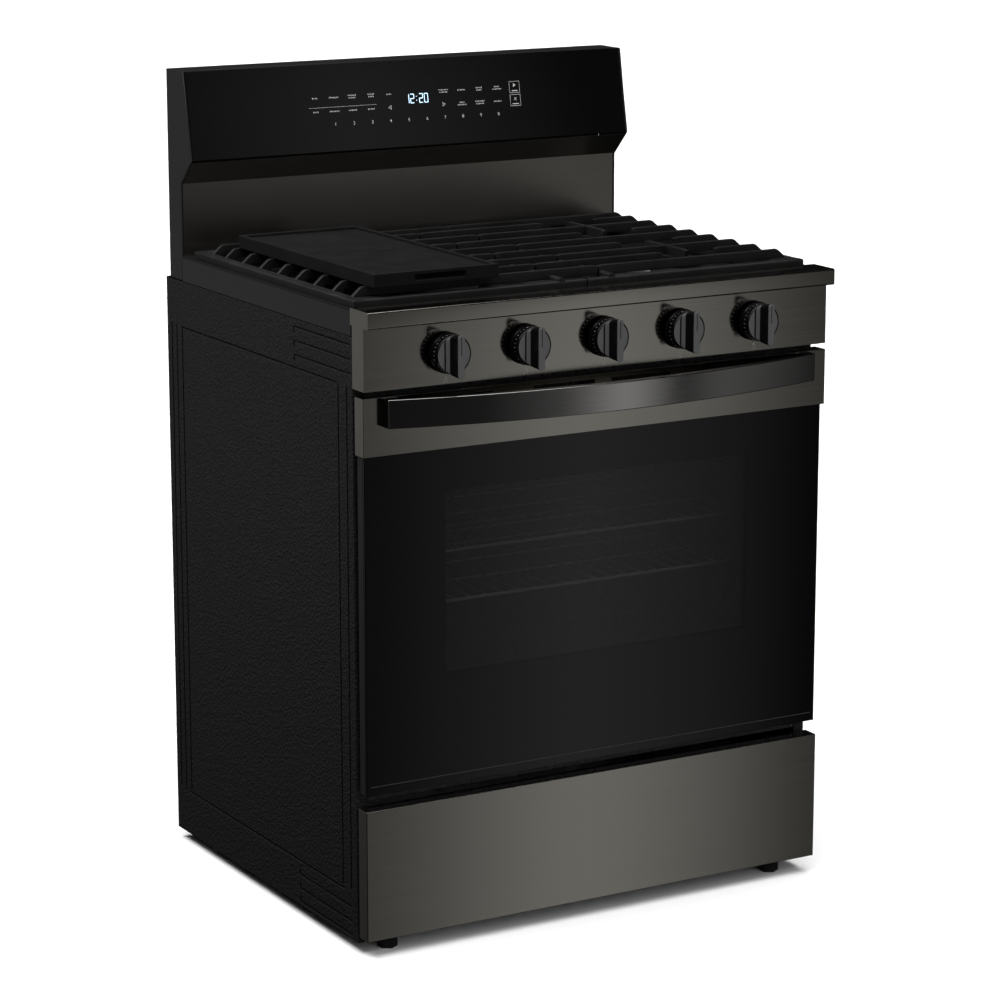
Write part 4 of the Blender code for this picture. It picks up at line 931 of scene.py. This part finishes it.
def label_marks():
    """Short words under the glass, drawn as rows of strokes of uneven length."""
    marks = []
    upper = [(-0.165, 1), (-0.1332, 1), (-0.1027, 2), (-0.0704, 2), (-0.0401, 1), (0.0536, 2), (0.0852, 1),
        (0.1159, 2), (0.1474, 2)]
    lower = [(-0.1652, 1), (-0.1339, 1), (-0.1028, 1), (-0.0716, 1), (0.0847, 2), (0.116, 2), (0.1474, 1)]
    for row, v in ((upper, 0.0805), (lower, 0.06)):
        for number, (x, count) in enumerate(row):
            for line in range(count):
                width = 0.0095 + 0.0024 * ((number * 7 + line * 3) % 4)
                level = v + (0.0018 if count == 2 and line == 0 else -0.0018 if count == 2 else 0)
                letters = max(int(width / 0.0021), 4)
                for letter in range(letters):
                    place = x - width / 2 + width * (letter + 0.5) / letters
                    tall = 0.0017 if (letter * 5 + number) % 3 else 0.0022
                    marks.append(bar_mark(place, level, 0.0011, tall))
    marks.append(bar_mark(-0.119, 0.0664, 0.114, 0.00035))
    return [finished(mark, PALE_PRINT) for mark in marks]


def arrow_marks():
    marks = []
    for x, way in ((-0.0396, -1), (0.053, 1)):
        tips = [(x + way * 0.003, 0.0605), (x - way * 0.0022, 0.0638), (x - way * 0.0022, 0.0572)]
        inner = [(x + way * 0.0018, 0.0605), (x - way * 0.0015, 0.0626), (x - way * 0.0015, 0.0584)]
        marks.append(on_console(tips + inner, [(0, 1, 4, 3), (1, 2, 5, 4), (2, 0, 3, 5)]))
    return [finished(mark, PALE_PRINT) for mark in marks]


def frame_mark(x, v, half_width, half_height, stroke):
    rings = []
    for inset in (0, stroke):
        rings += [(x + a * (half_width - inset), v + b * (half_height - inset)) for a, b in CORNERS]
    return on_console(rings, [(0, 1, 5, 4), (1, 2, 6, 5), (2, 3, 7, 6), (3, 0, 4, 7)])


def start_stop_marks():
    marks = [frame_mark(0.1788, 0.0802, 0.0092, 0.0088, 0.0005),
        frame_mark(0.1788, 0.06, 0.0092, 0.0088, 0.0005)]
    marks.append(on_console([(0.1768, 0.086), (0.1768, 0.08), (0.1816, 0.083)], [(0, 1, 2)]))
    for way in (-1, 1):
        ends = [(0.1766, 0.062 + way * 0.0022), (0.1772, 0.062 + way * 0.0026),
            (0.1812, 0.062 - way * 0.0022), (0.1806, 0.062 - way * 0.0026)]
        marks.append(on_console(ends, [(0, 1, 2, 3)]))
    marks += [bar_mark(0.1788, 0.0745, 0.01, 0.0014), bar_mark(0.1788, 0.0545, 0.011, 0.0014)]
    return [finished(mark, PALE_PRINT) for mark in marks]


def build_console():
    eased_node("console_glass", CONSOLE, 0.0008, 2, 30, "console_glass")
    digit_v = 0.0405
    digits = [text_mark("1234567890"[i], -0.1338 + 0.0312 * i, digit_v, 0.007, PALE_PRINT) for i in range(10)]
    printed = digits + label_marks() + arrow_marks() + start_stop_marks()
    place_piece("console_print", joined(*printed), "range")
    place_piece("console_clock", joined(*clock_marks(0.0078, 0.072)), "range")


# Marks on the control panel
def build_panel_marks():
    """A dot under each knob, and the burner plan beside it."""
    low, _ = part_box("control_panel")
    face = low.y - PRINT_LIFT
    meshes = []
    for number in range(1, 6):
        knob_low, knob_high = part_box("knob_%d" % number)
        x, z = (knob_low.x + knob_high.x) / 2, knob_low.z - 0.0075
        meshes.append(dot(x, face, z + 0.0035, 0.0016))
        for column in (-1, 1):
            for row in (0, 1):
                lit = (number in (1, 2)) == (column < 0) and number != 3
                size = 0.0007 if lit and row == number % 2 else 0.0004
                meshes.append(dot(x + column * 0.0024, face, z - 0.0036 + row * 0.004, size))
        meshes.append(dot(x, face, z - 0.0016, 0.0007 if number == 3 else 0.0004))
    place_piece("control_panel_marks", joined(*[finished(m, WHITE_PRINT) for m in meshes]), "range")


def dot(x, y, z, radius, sides=14):
    mesh = bpy.data.meshes.new("dot")
    points = [(x + radius * cos(tau * i / sides), y, z + radius * sin(tau * i / sides)) for i in range(sides)]
    mesh.from_pydata(points, [], [tuple(range(sides))])
    return mesh


# Oven inside
def wires(low, high):
    """Rack paths: the wires front to back, the three cross wires, and the level they lie at."""
    z = (low.z + high.z) / 2
    count = 23
    long_wires = []
    for i in range(count):
        x = low.x + 0.012 + (high.x - low.x - 0.024) * i / (count - 1)
        long_wires.append([(x, low.y + 0.004, z + 0.0012), (x, high.y - 0.004, z + 0.0012)])
    cross = [[(low.x + 0.003, y, z - 0.0012), (high.x - 0.003, y, z - 0.0012)] for y in (low.y + 0.11,
        (low.y + high.y) / 2, high.y - 0.11)]
    return long_wires, cross, z


def build_rack(node):
    low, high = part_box(node)
    long_wires, cross, z = wires(low, high)
    thin = rod(long_wires, 0.0013, RACK, 2)
    thick = rod(cross, 0.0013, RACK, 2)
    border = rounded_ring(high.x - 0.0025, low.y + 0.0025, high.y - 0.0025, 0.012, z, 5)
    rim = rod([border], 0.0024, RACK, 3, closed=True)
    place_piece(node + "_wires", joined(thin, thick, rim), node, (node,))


def build_gasket():
    low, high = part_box("oven_gasket")
    y = (low.y + high.y) / 2
    z0, z1, x1 = low.z + 0.004, high.z - 0.004, high.x - 0.004
    ring = [(x, y, v) for x, v, _ in rounded_ring(x1, z0, z1, 0.019, 0, 8)]
    mesh = swept([ring], 0.0075, high.y - low.y - 0.0004, 0.0016, GASKET, 2, closed=True)
    place_piece("oven_gasket_braid", mesh, "range", ("oven_gasket",))


def build_oven_tubes():
    low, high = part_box("broil_burner")
    r = (high.z - low.z) / 2
    z, x = (low.z + high.z) / 2, high.x - r
    front, turn = low.y + r, 0.025
    path = [(-x, high.y, z)]
    for cx, start in ((-x + turn, 180), (x - turn, 270)):
        for i in range(9):
            a = radians(start + 90 * i / 8)
            path.append((cx + turn * cos(a), front + turn + turn * sin(a), z))
    path.append((x, high.y, z))
    tube = rod([path], r, BURNER, 4)
    places = [((sign * x, front + 0.05 + 0.012 * i, z - r), (0, 0, -1)) for sign in (-1,
        1) for i in range(26)]
    place_piece("broil_burner_tube", joined(tube, set_out(PORT, places, HOLE_SHADE)), "range",
        ("broil_burner",))
    low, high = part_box("bake_burner")
    r, z = (high.z - low.z) / 2, (low.z + high.z) / 2
    tube = rod([[(0, low.y + 0.001, z), (0, high.y - 0.001, z)]], r, BURNER, 5)
    places = [((sign * r * 0.9, low.y + 0.02 + 0.012 * i, z + r * 0.43),
        (sign * 0.9, 0, 0.43)) for sign in (-1, 1) for i in range(30)]
    place_piece("bake_burner_tube", joined(tube, set_out(PORT, places, HOLE_SHADE)), "range",
        ("bake_burner",))


# Screws, louvres and the back
def louvre_forms():
    """A pressed hood over a vent slot, and a dark box of painted shade in the slot's mouth."""
    rows = []
    for share in (-1, -0.9, -0.7, 0.7, 0.9, 1):
        rise = 0.003 * sqrt(max(1 - max(abs(share) - 0.7, 0) ** 2 / 0.09, 0))
        x = 0.026 * share
        rows.append([(x, -0.0035, 0.0), (x, -0.0032, rise * 0.55), (x, -0.0018, rise * 0.9),
            (x, 0.0005, rise), (x, 0.003, rise * 0.8)])
    work = bmesh.new()
    grid = [[work.verts.new(p) for p in row] for row in rows]
    for a, b in zip(grid, grid[1:]):
        for i in range(4):
            work.faces.new((a[i], a[i + 1], b[i + 1], b[i]))
    mouth = eased_box((-0.0245, 0.0012, -0.0004), (0.0245, 0.0034, 0.001), 0.0002, 1)
    return form_object("louvre_hood", to_mesh(work, "hood")), form_object("louvre_slot", mouth)


def build_back():
    low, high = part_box("rear_panel")
    eased_node("rear_panel", GALVANISED, 0.0003, 1, 30, "galvanised")
    outward = (0, 1, 0)
    hoods = []
    for column in (-0.18, -0.105, -0.03, 0.045, 0.12, 0.195):
        for row in range(7):
            hoods.append(((column, high.y, 0.7 + 0.018 * row), outward))
    hood, slot = louvre_forms()
    # Dark boxes of painted shade fill the slot mouths under the hoods.
    louvres = joined(set_out(hood, hoods, GALVANISED), set_out(slot, hoods, HOLE_SHADE))
    place_piece("rear_louvres", louvres, "range")
    edge = [((x, high.y, z), outward) for x in (low.x + 0.012, high.x - 0.012) for z in (0.06, 0.22, 0.38,
        0.54, 0.7, 0.85)]
    edge += [((x, high.y, high.z - 0.012), outward) for x in (-0.24, -0.08, 0.08, 0.24)]
    _, shell_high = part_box("backguard_shell")
    edge += [((x, shell_high.y, z), outward) for x in (-0.35, 0.0, 0.35) for z in (0.93, 1.16)]
    place_piece("rear_screws", screws(edge, 4), "range")


# Door, drawer and the rest
def build_door_glass():
    """Black glass with a dark see-through window in the middle."""
    low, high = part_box("door_glass")
    window_low, window_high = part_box("door_window")
    ease = 0.0008
    work = bmesh.new()
    xs = [low.x, window_low.x, window_high.x, high.x]
    zs = [low.z, window_low.z, window_high.z, high.z]
    for y in (low.y, high.y):
        grid = [[work.verts.new((x, y, z)) for x in xs] for z in zs]
        for j in range(3):
            for i in range(3):
                if (i, j) != (1, 1):
                    work.faces.new((grid[j][i], grid[j][i + 1], grid[j + 1][i + 1], grid[j + 1][i]))
    hole = [e for e in work.edges if e.is_boundary and in_window(e, window_low, window_high)]
    rim = [e for e in work.edges if e.is_boundary and e not in hole]
    bmesh.ops.bridge_loops(work, edges=rim)
    bmesh.ops.bridge_loops(work, edges=hole)
    bmesh.ops.recalc_face_normals(work, faces=work.faces)
    outer = [e for e in work.edges if e.is_manifold and e.calc_face_angle() > 0.5 and not in_window(e,
        window_low, window_high)]
    bmesh.ops.bevel(work, geom=outer, offset=ease, offset_type="OFFSET", segments=2, profile=0.5,
        affect="EDGES")
    mesh = finished(to_mesh(work, "door_glass"), DOOR_GLASS)
    tint = 0.00005
    pane = eased_box((window_low.x + tint, low.y + tint, window_low.z + tint),
        (window_high.x - tint, high.y - tint, window_high.z - tint), 0.00002, 1)
    place_piece("door_glass_pane", joined(mesh, finished(pane, WINDOW_TINT)), "oven_door", ("door_glass",))


def in_window(edge, window_low, window_high):
    reach = 1e-5
    return all(window_low.x - reach < v.co.x < window_high.x + reach and window_low.z - reach < v.co.z < window_high.z + reach for v in edge.verts)


def build_handle():
    """The bowed bar, with the ground edges of its two ends in a lighter steel that paints their highlight."""
    _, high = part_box("door_handle")
    work = merged_copy("door_handle")
    eased(work, 0.0014, 3)
    end = high.x - 0.003
    # Faces on the turned corners of the two ends take the lighter steel as painted highlight.
    for face in work.faces:
        turned = abs(face.normal.x) > 0.25 and face.normal.y < -0.25
        face.material_index = int(turned and abs(face.calc_center_median().x) > end)
    mesh = to_mesh(work, "door_handle")
    mesh.materials.append(HANDLE_STEEL)
    mesh.materials.append(GROUND_EDGE_HIGHLIGHT)
    place_piece("door_handle_bar", mesh, "oven_door", ("door_handle",))


def build_glass_line():
    """The fine line just above the lower edge of the door glass."""
    low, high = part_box("door_glass")
    line = eased_box((low.x + 0.006, low.y - 0.00015, low.z + 0.0125),
        (high.x - 0.006, low.y + 0.0002, low.z + 0.0135), 0.0001, 1)
    place_piece("door_glass_line", finished(line, GLASS_LINE), "oven_door")


def build_griddle_slots():
    """Painted shade: dark plates at the backs of the hand slots in the griddle's two ends."""
    low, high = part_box("griddle")
    start, end = [low.x + share * (high.x - low.x) for share in (0.33, 0.73)]
    backs = []
    for y in (low.y + 0.0029, high.y - 0.0029):
        backs.append(eased_box((start + 0.0004, y - 0.0001, low.z + 0.0059),
            (end - 0.0004, y + 0.0001, low.z + 0.0131), 0.00005, 1))
    place_piece("griddle_slots", joined(*[finished(back, GROOVE) for back in backs]), "griddle")


def build_end_beads():
    """The bead down the front edge of each backguard end, in the lighter steel that paints a highlight line
    along that edge.
    """
    beads = []
    for side in (-1, 1):
        x = side * 0.3749
        beads.append([(x, 0.2783, 1.1868), (x, 0.2548, 1.059), (x, 0.2926, 1.0212), (x, 0.2926, 0.88)])
    place_piece("backguard_beads", rod(beads, 0.0006, GROUND_EDGE_HIGHLIGHT, 2), "range")


def build_liner_screws():
    low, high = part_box("door_liner")
    inward = (0, 1, 0)
    places = [((x, high.y, z), inward) for x in (low.x + 0.014, high.x - 0.014) for z in (low.z + 0.03, 0.42,
        0.6, high.z - 0.02)]
    places += [((x, high.y, high.z - 0.014), inward) for x in (-0.2, 0.0, 0.2)]
    place_piece("door_liner_screws", screws(places, 7), "oven_door")


# Node, finish, edge width, edge steps, angle over which an edge is eased, and slot.
EASED_NODES = (
    ("front_trim", STEEL, 0.0007, 2, 50, "black_stainless"),
    ("control_panel", STEEL, 0.0007, 2, 30, "black_stainless"),
    ("door_band", STEEL, 0.0006, 2, 30, "black_stainless"),
    ("drawer_front", STEEL, 0.0012, 2, 30, "black_stainless"),
    ("backguard_strip", STRIP_STEEL_PAINTED_LIGHT, 0.0003, 1, 30, "black_stainless"),
    ("backguard_shell", SMOOTH_BLACK, 0.0004, 2, 30, "gloss_black"),
    ("backguard_end_left", SMOOTH_BLACK, 0.001, 3, 30, "gloss_black"),
    ("backguard_end_right", SMOOTH_BLACK, 0.001, 3, 30, "gloss_black"),
    ("griddle", GRIDDLE_IRON, 0.0012, 3, 30, "cast_iron"),
    ("door_body", SMOOTH_BLACK, 0.0003, 1, 30, "gloss_black"),
    ("door_liner", OVEN, 0.0008, 2, 30, "oven_enamel"),
    ("door_window", WINDOW_INNER, 0.0006, 1, 30, "door_glass"),
    ("oven_liner", OVEN, 0.0003, 1, 30, "oven_enamel"),
    ("oven_front_frame", OVEN, 0.0005, 1, 30, "oven_enamel"),
    ("oven_lamp", LAMP, 0.0006, 2, 30, "lamp_glass"),
    ("base_frame", GALVANISED, 0.0005, 1, 30, "galvanised"),
    ("drawer_box", GALVANISED, 0.0003, 1, 30, "galvanised"),
    ("gas_manifold", BRASS, 0.001, 2, 30, "brass"),
    ("gas_pipe", GALVANISED, 0.0005, 1, 50, "galvanised"),
)


def build_rest():
    for row in EASED_NODES:
        eased_node(*row)
    for side in ("left", "right"):
        eased_node("door_hinge_" + side, BRIGHT, 0.0006, 2, 30, "bright_steel")
        for row in ("front", "rear"):
            eased_node("foot_%s_%s" % (row, side), RUBBER, 0.0009, 2, 30, "foot_plastic")
    for number in range(1, 6):
        eased_node("valve_stem_%d" % number, BRIGHT, 0.0004, 1, 50, "bright_steel")


# Stage
def build_floor():
    pale = new_material("studio_floor", (0.86, 0.86, 0.86), 0.9, specular=0.0)
    mesh = new_mesh("studio_floor", [(-40, -40, 0), (40, -40, 0), (40, 60, 0), (-40, 60, 0)], [],
        [(0, 1, 2, 3)])
    mesh.materials.append(pale)
    floor = new_object("studio_floor", mesh)
    floor.visible_glossy = False
    floor.visible_diffuse = False


def build_world():
    """A very dim surround that gives light, and a pale one that is only seen."""
    world = bpy.data.worlds.new("studio")
    world.use_nodes = True
    tree = world.node_tree
    light = tree.nodes["Background"]
    set_inputs(light, Color=(1, 1, 1, 1), Strength=WORLD_LIGHT)
    pale = tree.nodes.new("ShaderNodeBackground")
    set_inputs(pale, Color=(1, 1, 1, 1), Strength=1.0)
    path = tree.nodes.new("ShaderNodeLightPath")
    choice = tree.nodes.new("ShaderNodeMixShader")
    join_all(tree, (path, "Is Camera Ray", choice, 0), (light, 0, choice, 1), (pale, 0, choice, 2),
        (choice, 0, tree.nodes["World Output"], "Surface"))
    bpy.context.scene.world = world


def build_sun(name, energy, turn, glints):
    """A wide soft light from far away, turned by (x, y, z) degrees from straight down."""
    lamp = bpy.data.lights.new(name, "SUN")
    lamp.energy = energy
    lamp.angle = radians(SUN_SPREAD)
    sun = new_object(name, lamp)
    sun.rotation_euler = [radians(angle) for angle in turn]
    sun.visible_glossy = glints


def build_side_light():
    """A soft light high on the left that fades down the side."""
    lamp = bpy.data.lights.new("left_high", "AREA")
    lamp.shape = "RECTANGLE"
    lamp.size = 1.2
    lamp.size_y = 0.5
    lamp.energy = 15
    side = new_object("left_high", lamp)
    side.location = (-1.3, 0.2, 1.9)
    side.rotation_euler = (Vector((0.9, 0, -1.25)).to_track_quat("-Z", "Y")).to_euler()


def build_softbox(name, y, sides, across_stops, upward_stops):
    """An upright soft light that only shows in reflections, its strength set along and up it."""
    glow = bpy.data.materials.new(name)
    glow.use_nodes = True
    nodes = glow.node_tree.nodes
    nodes.remove(nodes["Principled BSDF"])
    place = nodes.new("ShaderNodeTexCoord")
    split = nodes.new("ShaderNodeSeparateXYZ")
    across = nodes.new("ShaderNodeValToRGB")
    upward = nodes.new("ShaderNodeValToRGB")
    both = nodes.new("ShaderNodeMixRGB")
    both.blend_type = "MULTIPLY"
    set_inputs(both, Fac=1.0)
    light = nodes.new("ShaderNodeEmission")
    left, right, bottom, top = sides
    set_ramp(across.color_ramp, across_stops, left, right)
    set_ramp(upward.color_ramp, upward_stops, bottom, top)
    join_all(glow.node_tree, (place, "UV", split, "Vector"), (split, "X", across, "Fac"),
        (split, "Y", upward, "Fac"), (across, "Color", both, "Color1"), (upward, "Color", both, "Color2"),
        (both, "Color", light, "Color"), (light, "Emission", nodes["Material Output"], "Surface"))
    mesh = new_mesh(name, [(left, y, bottom), (right, y, bottom), (right, y, top), (left, y, top)], [],
        [(0, 1, 2, 3)])
    spread_over = mesh.uv_layers.new(name="UVMap")
    for loop, corner in zip(spread_over.data, ((0, 0), (1, 0), (1, 1), (0, 1))):
        loop.uv = corner
    mesh.materials.append(glow)
    box = new_object(name, mesh)
    box.visible_camera = False
    box.visible_diffuse = False
    box.visible_shadow = False


def set_ramp(ramp, stops, low, high):
    """Stops in metres along one side of the softbox."""
    while len(ramp.elements) < len(stops):
        ramp.elements.new(1.0)
    for element, (place, value) in zip(ramp.elements, stops):
        element.position = (place - low) / (high - low)
        element.color = (value, value, value, 1)


def build_camera():
    lens = bpy.data.cameras.new("view")
    lens.sensor_width = 36
    lens.lens = LENS
    camera = new_object("view", lens)
    camera.location = CAMERA_PLACE
    camera.rotation_euler = (pi / 2 - CAMERA_PITCH, 0, -CAMERA_TURN)
    bpy.context.scene.camera = camera


CAMERA_PLACE = (-2.453, -4.2439, 1.6807)
CAMERA_PITCH = 0.2247
CAMERA_TURN = 0.5237
LENS = 122.14
SUN_SPREAD = 70
WORLD_LIGHT = 0.005
FRONT_SIDES = (-0.5, 6.5, -1.8, 2.4)
FRONT_ACROSS = ((-0.5, 0.012), (0.3, 0.016), (1.0, 0.075), (1.08, 0.1), (1.29, 0.195), (1.5, 0.3),
    (1.62, 0.358), (1.7, 0.345), (1.85, 0.28), (2.08, 0.177), (2.2, 0.105), (2.32, 0.042), (2.45, 0.035),
    (2.9, 0.1), (3.2, 0.11), (4.7, 0.058), (6.5, 0.02))
FRONT_UPWARD = ((-1.8, 1.0), (0.36, 1.0), (0.48, 0.75), (0.8, 0.65), (1.25, 0.8), (2.0, 0.75), (2.4, 0.1))
REAR_SIDES = (-3.6, -1.0, -1.6, 1.4)
REAR_ACROSS = ((-3.6, 0.02), (-3.0, 0.17), (-1.5, 0.17), (-1.0, 0.02))
REAR_UPWARD = ((-1.6, 0.2), (-0.8, 0.3), (-0.2, 0.8), (0.2, 1.0), (1.0, 0.9), (1.4, 0.2))


for panel_side, panel_sign in (("left", -1), ("right", 1)):
    build_side_panel(panel_side, panel_sign)
    build_grate(panel_side, panel_sign)
build_cooktop()
for burner in ("front_left", "rear_left", "front_right", "rear_right"):
    build_round_burner(burner)
build_oval_burner()
for knob_number in range(1, 6):
    build_knob(knob_number)
build_console()
build_panel_marks()
for rack in ("rack_lower", "rack_upper"):
    build_rack(rack)
for build in (build_gasket, build_oven_tubes, build_back, build_door_glass, build_handle, build_glass_line,
        build_griddle_slots, build_end_beads, build_liner_screws, build_rest):
    build()
for form in FORMS:
    bpy.data.objects.remove(form)
build_floor()
build_world()
build_sun("soft_overhead", 2.8, (4, -6, 0), False)
build_sun("overhead_glint", 1.8, (4, -6, 0), True)
build_sun("front_fill", 1.7, (62, 0, 8), False)
build_side_light()
build_softbox("softbox_front", -3.0, FRONT_SIDES, FRONT_ACROSS, FRONT_UPWARD)
build_softbox("softbox_rear_left", 3.0, REAR_SIDES, REAR_ACROSS, REAR_UPWARD)
build_camera()
bpy.context.scene.view_settings.view_transform = "Standard"
